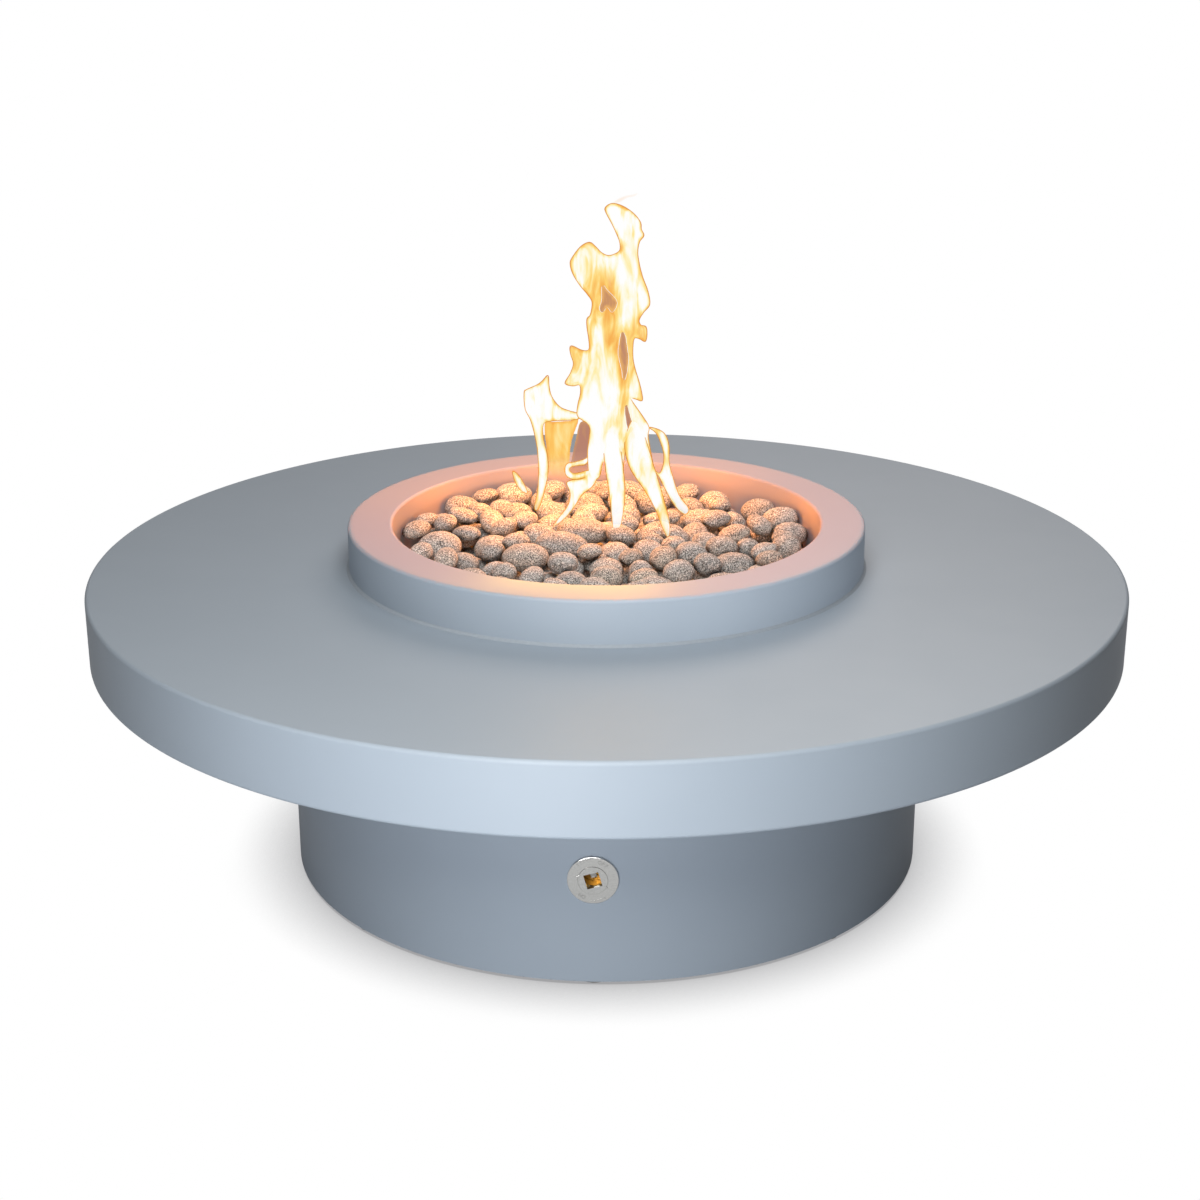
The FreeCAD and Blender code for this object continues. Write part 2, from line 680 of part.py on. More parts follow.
def make_hub():
    top = hub_top
    body = turned_body("burner_hub", [
        (mm.nipple_radius + mm.thread_gap, pan_top),
        (mm.hub_radius, pan_top),
        (mm.hub_radius, top),
        (0, top),
        (0, top - mm.hub_wall),
        (mm.hub_radius - mm.hub_wall, top - mm.hub_wall),
        (mm.hub_radius - mm.hub_wall, pan_top + mm.hub_wall),
        (mm.nipple_radius + mm.thread_gap, pan_top + mm.hub_wall),
    ])
    way = new_sketch(body, "gas_way", "YZ_Plane")
    draw_circle(way, 0, burner_height, mm.spoke_tube_radius - mm.tube_wall)
    pocket = body.newObject("PartDesign::Pocket", "burner_hub_gas_way_cut")
    pocket.Profile = way
    bind(pocket, "Length", mm.hub_radius + mm.hub_wall)
    pocket.Reversed = True
    repeat_round(body, [pocket], mm.spoke_count)
    turn_about_z(body, EVERY_TURN / 2 / mm.spoke_count)


def hex_nut(label, flats, bore, low, height):
    body = new_body(label)
    sketch = new_sketch(body, "block", offset=low)
    draw_outline(sketch, hexagon(flats))
    draw_circle(sketch, 0, 0, bore)
    add_pad(body, sketch, height)
    return body


def make_pan_fixing():
    """The nipple through the pan, with its washer and nut."""
    hub_inside = pan_top + mm.hub_wall
    turned_body("burner_nipple", ring_corners(
        mm.gas_bore_radius, mm.nipple_radius, nipple_foot, hub_inside
    ))
    washer_low = pan_under - mm.pan_washer_height
    bore = mm.nipple_radius + mm.thread_gap
    turned_body("pan_washer", ring_corners(bore, mm.pan_washer_radius, washer_low, pan_under))
    hex_nut("pan_locknut", mm.pan_nut_flats, bore, washer_low - mm.pan_nut_height, mm.pan_nut_height)


def make_elbow():
    """An elbow whose socket takes the nipple from above and whose flare end points to the front."""
    height = elbow_height.number
    radius = mm.elbow_radius.number
    centre = FreeCAD.Vector(0, 0, height)
    up, front = FreeCAD.Vector(0, 0, 1), FreeCAD.Vector(0, -1, 0)
    reach = mm.elbow_reach.number
    socket = mm.nipple_radius.number + mm.thread_gap.number
    socket_foot = nipple_foot.number
    top = socket_foot + mm.elbow_socket.number
    solid = Part.makeSphere(radius, centre).fuse([
        Part.makeCylinder(radius, top - height, centre, up),
        Part.makeCylinder(radius, reach, centre, front),
        Part.makeCylinder(mm.flare_radius.number, reach + mm.flare_length.number, centre, front),
    ]).removeSplitter()
    bores = [
        Part.makeCylinder(socket, top - socket_foot, FreeCAD.Vector(0, 0, socket_foot), up),
        Part.makeCylinder(mm.gas_bore_radius.number, top - height, centre, up),
        Part.makeCylinder(mm.gas_bore_radius.number, reach + mm.flare_length.number, centre, front),
        Part.makeSphere(mm.gas_bore_radius.number, centre),
    ]
    new_feature("inlet_elbow", solid.cut(bores))


def make_hose():
    """The hose rises from the valve, bends once and runs level to the elbow under the pan."""
    along = ball_along.number
    start_height = (mm.valve_height + valve_shoulder + mm.flare_length + mm.hose_start).number
    end_along = -(mm.elbow_reach + mm.flare_length + mm.hose_start).number
    level = elbow_height.number
    bend = mm.hose_bend.number
    start = FreeCAD.Vector(0, along, start_height)
    bend_start = FreeCAD.Vector(0, along, level - bend)
    slant = bend * (1 - math.sqrt(0.5))
    bend_middle = FreeCAD.Vector(0, along + slant, level - slant)
    bend_end = FreeCAD.Vector(0, along + bend, level)
    end = FreeCAD.Vector(0, end_along, level)
    route = Part.Wire([
        Part.LineSegment(start, bend_start).toShape(),
        Part.Arc(bend_start, bend_middle, bend_end).toShape(),
        Part.LineSegment(bend_end, end).toShape(),
    ])
    radius = mm.hose_radius.number
    tubes = []
    for tube_radius in (radius, mm.gas_bore_radius.number):
        circle = Part.Wire(Part.makeCircle(tube_radius, start, FreeCAD.Vector(0, 0, 1)))
        tubes.append(route.makePipeShell([circle], True, False))
    new_feature("burner_hose", tubes[0].cut(tubes[1]))
    section = math.pi * (radius ** 2 - mm.gas_bore_radius.number ** 2)
    made = nodes[-1].Shape.Volume / (section * route.Length)
    print(f"burner hose: {route.Length:.1f} mm long, volume {made:.4f} of its section times length")


def hose_nut(label):
    """A nut from a flare's root to past the hose's end."""
    body = new_body(label)
    sketch = new_sketch(body, "block")
    draw_outline(sketch, hexagon(mm.hose_nut_flats))
    draw_circle(sketch, 0, 0, mm.flare_radius + mm.thread_gap)
    add_pad(body, sketch, mm.flare_length)
    sleeve = new_sketch(body, "sleeve", offset=mm.flare_length)
    draw_circle(sleeve, 0, 0, mm.flare_radius + mm.tube_wall)
    draw_circle(sleeve, 0, 0, mm.hose_radius + mm.thread_gap)
    add_pad(body, sleeve, mm.hose_nut_length - mm.flare_length)
    return body


def make_hose_nuts():
    valve_nut = hose_nut("hose_nut_valve")
    place(valve_nut, 0, ball_along, mm.valve_height + valve_shoulder)
    burner_nut = hose_nut("hose_nut_burner")
    burner_nut.Placement = FreeCAD.Placement(
        FreeCAD.Vector(), FreeCAD.Rotation(FreeCAD.Vector(1, 0, 0), 90)
    )
    place(burner_nut, 0, -mm.elbow_reach, elbow_height)


def make_plate():
    """The round cover plate, with a raised ring, a square hole and a threaded skirt behind."""
    back, front = mm.plate_seat, mm.plate_seat + mm.plate_thickness
    skirt_outer = mm.sleeve_radius - mm.sleeve_wall - mm.thread_gap
    skirt_inner = skirt_outer - mm.skirt_wall
    corner_reach = mm.key_hole / math.sqrt(2)
    ring_radius = corner_reach + mm.plate_ring_width
    body = turned_body("valve_plate", [
        (0, back),
        (skirt_inner, back),
        (skirt_inner, back - mm.plate_skirt),
        (skirt_outer, back - mm.plate_skirt),
        (skirt_outer, back),
        (mm.plate_radius, back),
        (mm.plate_radius, front),
        (ring_radius, front),
        (ring_radius, front + mm.plate_ring_height),
        (0, front + mm.plate_ring_height),
    ])
    round_rings(body, mm.plate_edge_round, [(mm.plate_radius, front)])
    hole = new_sketch(body, "key_hole", offset=front + mm.plate_ring_height)
    draw_outline(hole, polygon(corner_reach, 4, 45 + mm.key_hole_turn.number))
    cut_down(body, hole, mm.plate_thickness + mm.plate_ring_height)
    face_front(body)


def sag_inside_drum(reach):
    """How far the drum's inside falls back from its own front line, at a distance across."""
    inside = mm.drum_radius - mm.sheet
    return inside - (inside * inside - reach * reach).root()


def make_sleeve():
    inner = mm.sleeve_radius - mm.sleeve_wall
    face_front(turned_body("valve_sleeve", ring_corners(
        inner, mm.sleeve_radius, mm.plate_seat - mm.sleeve_length, mm.plate_seat
    )))
    washer_face = -(mm.sheet + sag_inside_drum(mm.valve_washer_radius) + mm.thread_gap)
    bore = mm.sleeve_radius + mm.thread_gap
    washer_back = washer_face - mm.valve_washer_height
    face_front(turned_body("valve_washer", ring_corners(
        bore, mm.valve_washer_radius, washer_back, washer_face
    )))
    nut_flats = 2 * (mm.sleeve_radius + mm.valve_nut_wall)
    face_front(hex_nut(
        "valve_locknut", nut_flats, bore, washer_back - mm.valve_nut_height, mm.valve_nut_height
    ))


def make_bonnet():
    """The bonnet closes the valve's body, carries the sleeve and guides the stem."""
    neck = mm.sleeve_radius - mm.sleeve_wall - mm.thread_gap
    bore = mm.stem_radius + mm.stem_gap
    shoulder_back = mm.bonnet_shoulder + mm.bonnet_shoulder_height
    body = hex_nut("valve_bonnet", mm.bonnet_flats, bore, -shoulder_back, mm.bonnet_shoulder_height)
    front = new_sketch(body, "neck", offset=-mm.bonnet_shoulder)
    draw_circle(front, 0, 0, neck)
    draw_circle(front, 0, 0, bore)
    add_pad(body, front, mm.bonnet_shoulder - mm.bonnet_neck_top)
    screw = new_sketch(body, "screw", offset=-shoulder_back - mm.bonnet_screw_length)
    draw_circle(screw, 0, 0, mm.bonnet_screw_radius)
    draw_circle(screw, 0, 0, bore)
    add_pad(body, screw, mm.bonnet_screw_length)
    face_front(body)


def rubber_ring_depths():
    """Depths of the rubber rings' centres, spaced evenly about the bonnet's shoulder."""
    middle = mm.bonnet_shoulder
    count = int(mm.rubber_ring_count.number)
    return [middle + mm.rubber_ring_pitch * (index - (count - 1) / 2) for index in range(count)]


def make_stem():
    """The stem: a square end for the key, a shaft with ring grooves, a collar and a tongue."""
    shaft_end = mm.bonnet_neck_top - mm.stem_gap
    groove_radius = mm.stem_radius - mm.ring_groove
    half_groove = mm.ring_groove / 2 + mm.stem_gap
    corners = [(0, -shaft_end), (mm.stem_radius, -shaft_end)]
    for depth in rubber_ring_depths():
        corners += [
            (mm.stem_radius, half_groove - depth),
            (groove_radius, half_groove - depth),
            (groove_radius, -half_groove - depth),
            (mm.stem_radius, -half_groove - depth),
        ]
    corners += [
        (mm.stem_radius, -stem_collar_front),
        (mm.stem_collar_radius, -stem_collar_front),
        (mm.stem_collar_radius, -stem_collar_back),
        (0, -stem_collar_back),
    ]
    body = turned_body("valve_stem", corners)
    square = new_sketch(body, "square", offset=-shaft_end)
    draw_outline(square, polygon(mm.stem_square / math.sqrt(2), 4, 45 + mm.key_hole_turn.number))
    add_pad(body, square, mm.stem_square_length)
    tongue = new_sketch(body, "tongue", offset=-stem_collar_back - mm.tongue_length)
    half_thick, half_wide = mm.tongue_thickness / 2, mm.tongue_width / 2
    draw_outline(tongue, [
        (-half_thick, -half_wide),
        (half_thick, -half_wide),
        (half_thick, half_wide),
        (-half_thick, half_wide),
    ])
    add_pad(body, tongue, mm.tongue_length)
    face_front(body)


def make_rubber_rings():
    body = new_body("stem_rubber_rings")
    body.AllowCompound = True
    tube = mm.ring_groove / 2
    for index, depth in enumerate(rubber_ring_depths()):
        section = new_sketch(body, f"section_{index + 1}", "XZ_Plane")
        draw_circle(section, mm.stem_radius - tube, -depth, tube)
        turn_profile(body, section)
    face_front(body)


def place_at_ball(feature):
    """Stand a piece made about the ball's centre on the valve: its +Z points out of the drum, its +Y up."""
    feature.Placement = FreeCAD.Placement(
        FreeCAD.Vector(0, ball_along.number, mm.valve_height.number),
        FreeCAD.Rotation(FreeCAD.Vector(1, 0, 0), 90),
    )


def make_ball():
    """The ball, bored along the pipe and slotted for the tongue. It rests open."""
    radius, bore = mm.ball_radius.number, mm.gas_bore_radius.number
    ball = Part.makeSphere(radius)
    way = Part.makeCylinder(bore, 2 * radius, FreeCAD.Vector(0, -radius, 0), FreeCAD.Vector(0, 1, 0))
    half = mm.tongue_thickness.number / 2 + mm.tongue_gap.number
    slot_floor = (ball_depth - slot_depth).number
    slot = Part.makeBox(2 * half, 2 * radius, radius, FreeCAD.Vector(-half, -radius, slot_floor))
    place_at_ball(new_feature("valve_ball", ball.cut([way, slot])))


def pipe_along_flow(radius, low, high):
    """A rod along the valve's flow, which is vertical, about the ball's centre."""
    return Part.makeCylinder(radius, high - low, FreeCAD.Vector(0, low, 0), FreeCAD.Vector(0, 1, 0))


def make_seats():
    """Two plastic rings that press on the ball from above and below."""
    near, far = seat_near.number, seat_far.number
    radius = (chamber_radius - mm.thread_gap).number
    bore = mm.gas_bore_radius.number
    hollow = Part.makeSphere(mm.ball_radius.number + mm.seat_gap.number)
    solids = []
    for low, high in ((near, far), (-far, -near)):
        ring = pipe_along_flow(radius, low, high).cut(pipe_along_flow(bore, low, high))
        solids += ring.cut(hollow).Solids
    place_at_ball(new_feature("valve_seats", Part.makeCompound(solids)))


def make_valve_body():
    """The body round the ball: a flare end above, an open end below and a socket for the bonnet."""
    radius, bore = valve_radius.number, mm.gas_bore_radius.number
    foot, shoulder = valve_foot.number, valve_shoulder.number
    flare_end = shoulder + mm.flare_length.number
    chamber, seat_end = chamber_radius.number, seat_far.number
    socket_top = (ball_depth - mm.bonnet_shoulder - mm.bonnet_shoulder_height).number
    socket_foot = (ball_depth - bonnet_back).number
    forward = FreeCAD.Vector(0, 0, 1)
    origin = FreeCAD.Vector()
    screw = mm.bonnet_screw_radius.number + mm.thread_gap.number
    solid = pipe_along_flow(radius, -foot, shoulder).fuse([
        pipe_along_flow(mm.flare_radius.number, shoulder, flare_end),
        Part.makeCylinder(screw + mm.sleeve_wall.number, socket_top, origin, forward),
    ]).removeSplitter()
    stem_room = mm.stem_collar_radius.number + mm.body_gap.number
    solid = solid.cut([
        pipe_along_flow(chamber, -foot, seat_end),
        pipe_along_flow(bore, 0, flare_end),
        Part.makeCylinder(screw, socket_top - socket_foot, FreeCAD.Vector(0, 0, socket_foot), forward),
        Part.makeCylinder(stem_room, socket_foot, origin, forward),
    ])
    place_at_ball(new_feature("valve_body", solid))


def make_valve_cap():
    """The cap that closes the valve's lower end and takes the supply line on its flare."""
    bore = mm.gas_bore_radius.number
    foot, shoulder = valve_foot.number, valve_shoulder.number
    flare_end = shoulder + mm.flare_length.number
    screw = pipe_along_flow((chamber_radius - mm.thread_gap).number, -foot, -seat_far.number)
    solid = screw.fuse([
        pipe_along_flow(valve_radius.number, -shoulder, -foot),
        pipe_along_flow(mm.flare_radius.number, -flare_end, -shoulder),
    ]).removeSplitter()
    solid = solid.cut(pipe_along_flow(bore, -flare_end, 0))
    place_at_ball(new_feature("valve_inlet_cap", solid))


def make_lava_bed():
    """Crushed lava that fills the pan and covers the burner, with a gap all round the burner."""
    gap = mm.bed_gap.number
    floor = pan_top.number
    bed = Part.makeCylinder(
        (pan_radius - mm.sheet - mm.bed_gap).number,
        bed_top.number - floor,
        FreeCAD.Vector(0, 0, floor),
    )
    hub_room = hub_top.number + gap - floor
    cuts = [
        Part.makeCylinder(mm.hub_radius.number + gap, hub_room, FreeCAD.Vector(0, 0, floor)),
        ring_solid(mm.outer_ring_radius.number, mm.ring_tube_radius.number + gap),
        ring_solid(mm.inner_ring_radius.number, mm.ring_tube_radius.number + gap),
    ]
    for index in range(int(mm.spoke_count.number)):
        cuts.append(spoke_rod(mm.spoke_tube_radius.number + gap, index, 0, mm.outer_ring_radius.number))
    new_feature("lava_bed", bed.cut(cuts))


class Stone:
    """A stone as an ellipsoid: its half-axes, how it is turned, and the matrix that its reach comes from."""

    def __init__(self, length, width, height, turn, lean, roll):
        self.halves = (length / 2, width / 2, height / 2)
        self.rotation = FreeCAD.Rotation(turn, lean, roll)
        self.spread = [0.0] * 6
        axes = (FreeCAD.Vector(1, 0, 0), FreeCAD.Vector(0, 1, 0), FreeCAD.Vector(0, 0, 1))
        for half, axis in zip(self.halves, axes):
            arm = self.rotation.multVec(axis) * half
            x, y, z = arm
            products = (x * x, x * y, x * z, y * y, y * z, z * z)
            self.spread = [total + product for total, product in zip(self.spread, products)]
        self.centre = None

    def reach(self, p, q, r):
        """How far the stone reaches from its centre along a direction, times that direction's length."""
        xx, xy, xz, yy, yz, zz = self.spread
        return math.sqrt(xx * p * p + yy * q * q + zz * r * r + 2 * (xy * p * q + xz * p * r + yz * q * r))

    def pull(self, p, q):
        """The first two parts of the spread times the direction (p, q, 1)."""
        xx, xy, xz, yy, yz, _ = self.spread
        return xx * p + xy * q + xz, xy * p + yy * q + yz

    def half_height(self):
        return self.reach(0, 0, 1)

    def solid(self):
        stretch = FreeCAD.Matrix()
        stretch.scale(*self.halves)
        egg = Part.makeSphere(1).transformGeometry(stretch)
        egg.Placement = FreeCAD.Placement(FreeCAD.Vector(*self.centre), self.rotation)
        return egg


# Limits of the search for where two stones touch.
STEEPEST = 30.0
SEARCH_STEPS = 25
LONGEST_STEP = 3.0
SMALL_SLOPE = 1e-3

# How a stone looks for its place: sideways looks at the wall, shrinking steps, and the pull to the back.
WALL_LOOKS = 8
WALL_LOOK_ANGLE = 5.0
STEP_SHRINK = 0.85
SHOWN_STEPS, SHOWN_TRIES = (5.0, 10.0, 20.0, 30.0), 12
FILL_STEP, FILL_TRIES = 6.0, 20
CLOSING_PULL = 0.05
MISSES_ALLOWED = 25

# The random stones: least, greatest and usual length as shares of the usual length, then the ranges of
# width to length and of height to width, and how far they lean and roll, in degrees.
HIDDEN_LENGTHS = (0.75, 1.2, 0.95)
FILLER_LENGTHS = (0.7, 1.15, 0.9)
WIDTH_SHARE = (0.76, 0.92)
HEIGHT_SHARE = (0.68, 0.88)
LEAN_SPREAD = 14.0
HIDDEN_PLACES = 30
FILLER_PLACES = 60
HEAP_SEED = 22


def rise_over(under, over, across, along, gap):
    """How high one stone's centre lies above another's when it just rests on it.

    The height of two stones' common outline, grown by the gap, is the least over all slopes p and q
    of reach(under) + reach(over) + gap - p * across - q * along. Newton's steps find that slope.
    Stones that pass each other give None.
    """
    p = q = 0.0

    def height(p, q):
        grown = gap * math.sqrt(p * p + q * q + 1)
        return under.reach(p, q, 1) + over.reach(p, q, 1) + grown - p * across - q * along

    here = height(p, q)
    lowest = -under.half_height() - over.half_height()
    for _ in range(SEARCH_STEPS):
        length = math.sqrt(p * p + q * q + 1)
        slope_p, slope_q = gap * p / length - across, gap * q / length - along
        bend_pp = gap * (1 - p * p / length ** 2) / length
        bend_pq = -gap * p * q / length ** 3
        bend_qq = gap * (1 - q * q / length ** 2) / length
        for stone in (under, over):
            reach = stone.reach(p, q, 1)
            pull_p, pull_q = stone.pull(p, q)
            xx, xy, _, yy, _, _ = stone.spread
            slope_p += pull_p / reach
            slope_q += pull_q / reach
            bend_pp += (xx - pull_p * pull_p / reach ** 2) / reach
            bend_pq += (xy - pull_p * pull_q / reach ** 2) / reach
            bend_qq += (yy - pull_q * pull_q / reach ** 2) / reach
        if math.hypot(slope_p, slope_q) < SMALL_SLOPE:
            return here
        spread = bend_pp * bend_qq - bend_pq * bend_pq
        if spread <= 0:
            return None
        step_p = (bend_pq * slope_q - bend_qq * slope_p) / spread
        step_q = (bend_pq * slope_p - bend_pp * slope_q) / spread
        share = min(1.0, LONGEST_STEP / math.hypot(step_p, step_q))
        while height(p + share * step_p, q + share * step_q) > here and share > SMALL_SLOPE:
            share /= 2
        p, q = p + share * step_p, q + share * step_q
        here = height(p, q)
        if math.hypot(p, q) > STEEPEST or here < lowest:
            return None
    return here


class Heap:
    """Stones let down one by one into the bowl, each to where it rests on the bed or on other stones."""

    def __init__(self):
        self.stones = []
        self.gap = mm.stone_gap.number
        self.wall = (mm.bowl_radius - 2 * mm.stone_gap).number
        self.floor = bed_top.number + self.gap

    def inside(self, stone, across, along):
        """Whether the stone clears the wall, tried in directions about the one that it lies in."""
        towards = math.atan2(along, across)
        for look in range(-WALL_LOOKS, WALL_LOOKS + 1):
            angle = towards + math.radians(WALL_LOOK_ANGLE * look)
            p, q = math.cos(angle), math.sin(angle)
            if across * p + along * q + stone.reach(p, q, 0) > self.wall:
                return False
        return True

    def rest_height(self, stone, across, along):
        height = self.floor + stone.half_height()
        for other in self.stones:
            dx, dy = across - other.centre[0], along - other.centre[1]
            if math.hypot(dx, dy) > stone.halves[0] + other.halves[0] + self.gap:
                continue
            rise = rise_over(other, stone, dx, dy, self.gap)
            if rise is not None:
                height = max(height, other.centre[2] + rise)
        return height

    def effort(self, stone, across, along):
        """What a place costs the stone: its height, less a little for lying close to the back."""
        if not self.inside(stone, across, along):
            return math.inf
        return self.rest_height(stone, across, along) - CLOSING_PULL * along

    def settle(self, stone, across, along, step, tries, chance):
        """Look about a place for a better one."""
        effort = self.effort(stone, across, along)
        for _ in range(tries):
            angle = chance.uniform(0, 2 * math.pi)
            new_across, new_along = across + step * math.cos(angle), along + step * math.sin(angle)
            new_effort = self.effort(stone, new_across, new_along)
            if new_effort < effort:
                across, along, effort = new_across, new_along, new_effort
            else:
                step *= STEP_SHRINK
        return self.rest_height(stone, across, along), across, along

    def lay(self, stone, height, across, along):
        """Keep the stone where it rests, on hundredths of a millimetre and never lower."""
        stone.centre = (round(across, 2), round(along, 2), math.ceil(height * 100) / 100)
        self.stones.append(stone)

    def fill(self, limit, lengths, places, chance):
        """Drop stones at the lowest of some places until many in a row would stand too high."""
        misses = 0
        while misses < MISSES_ALLOWED:
            length = mm.stone_length.number * chance.triangular(*lengths)
            width = length * chance.uniform(*WIDTH_SHARE)
            height = width * chance.uniform(*HEIGHT_SHARE)
            turn = chance.uniform(0, EVERY_TURN)
            lean, roll = chance.gauss(0, LEAN_SPREAD), chance.gauss(0, LEAN_SPREAD)
            stone = Stone(length, width, height, turn, lean, roll)
            spots = []
            for _ in range(places):
                reach = self.wall * math.sqrt(chance.random())
                angle = chance.uniform(0, 2 * math.pi)
                across, along = reach * math.cos(angle), reach * math.sin(angle)
                spots.append((self.effort(stone, across, along), across, along))
            _, across, along = min(spots)
            best = self.settle(stone, across, along, FILL_STEP, FILL_TRIES, chance)
            if best[0] + stone.half_height() > limit:
                misses += 1
                continue
            misses = 0
            self.lay(stone, *best)


def make_stones():
    """The heap: hidden stones on the bed, the large stones that show, and smaller ones between them."""
    chance = random.Random(HEAP_SEED)
    heap = Heap()
    heap.fill((bed_top + mm.stone_base).number, HIDDEN_LENGTHS, HIDDEN_PLACES, chance)
    base = list(heap.stones)
    highest = (collar_top - mm.stone_drop).number
    for across, along, length, width, height, turn, lean in SHOWN_STONES:
        stone = Stone(length, width, height, turn, lean, 0)
        while not heap.inside(stone, across, along):
            across, along = across * NEARER, along * NEARER
        for step in SHOWN_STEPS:
            spot = heap.settle(stone, across, along, step, SHOWN_TRIES, chance)
            if spot[0] + stone.half_height() <= highest:
                heap.lay(stone, *spot)
                break
        else:
            print(f"the stone at {across:.0f}, {along:.0f} finds no place low enough and is left out")
    heap.fill((collar_top - mm.filler_drop).number, FILLER_LENGTHS, FILLER_PLACES, chance)
    upper = heap.stones[len(base):]
    top = max(stone.centre[2] + stone.half_height() for stone in heap.stones)
    print(f"stones: {len(base)} below, {len(upper)} above, the highest at {top:.1f}")
    new_feature("lava_stones_lower", Part.makeCompound([stone.solid() for stone in base]))
    new_feature("lava_stones_upper", Part.makeCompound([stone.solid() for stone in upper]))


def check_and_write():
    """Stop on any failed object, then write one file for each sub-part."""
    doc.recompute()
    for thing in doc.Objects:
        if {"Invalid", "Error"} & set(thing.State):
            raise RuntimeError(f"{thing.Label} failed: {thing.State}")
    for node in nodes:
        if node.Shape.isNull() or not node.Shape.isValid() or not node.Shape.Solids:
            raise RuntimeError(f"{node.Label} has no sound solid")
    os.makedirs("parts", exist_ok=True)
    for node in nodes:
        node.Shape.exportStep(f"parts/{node.Label}.step")
    print(f"{len(nodes)} sub-parts written")


make_tabletop()
make_soffit()
make_ribs()
make_collar()
make_drum()
make_pads()
make_bolts()
make_brackets()
make_pan()
make_burner_ring("burner_outer_ring", mm.outer_ring_radius, mm.outer_port_count)
make_burner_ring("burner_inner_ring", mm.inner_ring_radius, mm.inner_port_count)
make_spokes()
make_hub()
make_pan_fixing()
make_elbow()
make_hose()
make_hose_nuts()
make_plate()
make_sleeve()
make_bonnet()
make_stem()
make_rubber_rings()
make_ball()
make_seats()
make_valve_body()
make_valve_cap()
make_lava_bed()
make_stones()
check_and_write()
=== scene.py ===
import json
import math
import random

import bpy
import numpy as np
from mathutils import Matrix, Vector, noise

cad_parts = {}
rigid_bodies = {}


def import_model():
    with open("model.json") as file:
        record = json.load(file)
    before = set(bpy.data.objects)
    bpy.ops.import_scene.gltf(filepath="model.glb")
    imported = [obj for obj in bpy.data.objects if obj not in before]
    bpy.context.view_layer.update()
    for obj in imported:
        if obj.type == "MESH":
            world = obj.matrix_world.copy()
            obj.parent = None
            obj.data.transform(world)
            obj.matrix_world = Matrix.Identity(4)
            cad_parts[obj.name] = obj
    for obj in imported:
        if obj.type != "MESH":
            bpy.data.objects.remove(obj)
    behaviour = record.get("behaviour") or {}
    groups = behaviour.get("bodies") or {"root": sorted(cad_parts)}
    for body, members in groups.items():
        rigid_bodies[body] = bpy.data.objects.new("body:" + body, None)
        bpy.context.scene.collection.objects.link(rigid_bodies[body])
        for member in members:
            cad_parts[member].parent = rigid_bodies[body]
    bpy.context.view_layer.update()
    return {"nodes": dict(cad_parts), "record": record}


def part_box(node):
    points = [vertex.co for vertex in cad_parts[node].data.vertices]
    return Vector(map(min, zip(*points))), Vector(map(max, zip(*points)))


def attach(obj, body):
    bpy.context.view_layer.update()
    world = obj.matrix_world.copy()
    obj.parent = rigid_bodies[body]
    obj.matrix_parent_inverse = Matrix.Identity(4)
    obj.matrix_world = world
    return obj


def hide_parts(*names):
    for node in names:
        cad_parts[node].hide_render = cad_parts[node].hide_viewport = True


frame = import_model()
nodes = frame["nodes"]

MM = 0.001


def lowest(node):
    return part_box(node)[0]


def highest(node):
    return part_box(node)[1]


# Sizes read from the frame, in metres.
TOP_RADIUS = highest("tabletop").x
TOP_HEIGHT = highest("tabletop").z
TOP_LOW = lowest("tabletop").z
COLLAR_RADIUS = highest("fire_collar").x
COLLAR_TOP = highest("fire_collar").z
COLLAR_LOW = lowest("fire_collar").z
SEAL_RADIUS = highest("collar_seal").x
PLATE_FRONT = lowest("valve_plate").y
VALVE_HEIGHT = (lowest("valve_plate").z + highest("valve_plate").z) / 2

# Sizes of the rolled sheet, in metres.
SHEET = 2 * MM
TOP_EDGE_ROUND = 4 * MM
TOP_LIP = 24 * MM
HOLE_RADIUS = 257 * MM
BOWL_RADIUS = 254 * MM
COLLAR_EDGE_ROUND = 3.5 * MM


# Colours and materials

def colour(hex_value, alpha=1.0):
    """An sRGB hex value such as "96A2B2" as linear red, green, blue and alpha."""
    channels = [int(hex_value[start:start + 2], 16) / 255 for start in (0, 2, 4)]
    linear = [c / 12.92 if c <= 0.04045 else ((c + 0.055) / 1.055) ** 2.4 for c in channels]
    return (*linear, alpha)


class Nodes:
    """A node tree under construction, with one way to add a node."""

    def __init__(self, tree):
        self.tree = tree

    def add(self, kind, links=None, **settings):
        """Add a node. Settings that start with in_ are input values, links are inputs tied to outputs."""
        node = self.tree.nodes.new(kind)
        for name, value in settings.items():
            if name.startswith("in_"):
                key = name[3:]
                socket = node.inputs[int(key) if key.isdigit() else key.replace("_", " ").title()]
                socket.default_value = value
            else:
                setattr(node, name, value)
        for name, output in (links or {}).items():
            self.tree.links.new(output, node.inputs[name])
        return node

    def multiplied(self, first, second):
        node = self.add("ShaderNodeMix", {"A": first, "B": second}, data_type="RGBA", blend_type="MULTIPLY",
                        in_0=1.0)
        return node.outputs["Result"]

    def between(self, value, start, end=(0.0, 1.0)):
        """A value moved from one range to another and kept within it."""
        node = self.add("ShaderNodeMapRange", {"Value": value}, in_from_min=start[0], in_from_max=start[1],
                        in_to_min=end[0], in_to_max=end[1])
        return node.outputs[0]

    def ramp(self, factor, stops):
        """Colours along a factor, from pairs of position and colour."""
        node = self.add("ShaderNodeValToRGB", {"Fac": factor})
        elements = node.color_ramp.elements
        while len(elements) < len(stops):
            elements.new(0.5)
        for element, (position, value) in zip(elements, stops):
            element.position = position
            element.color = value
        return node.outputs["Color"]


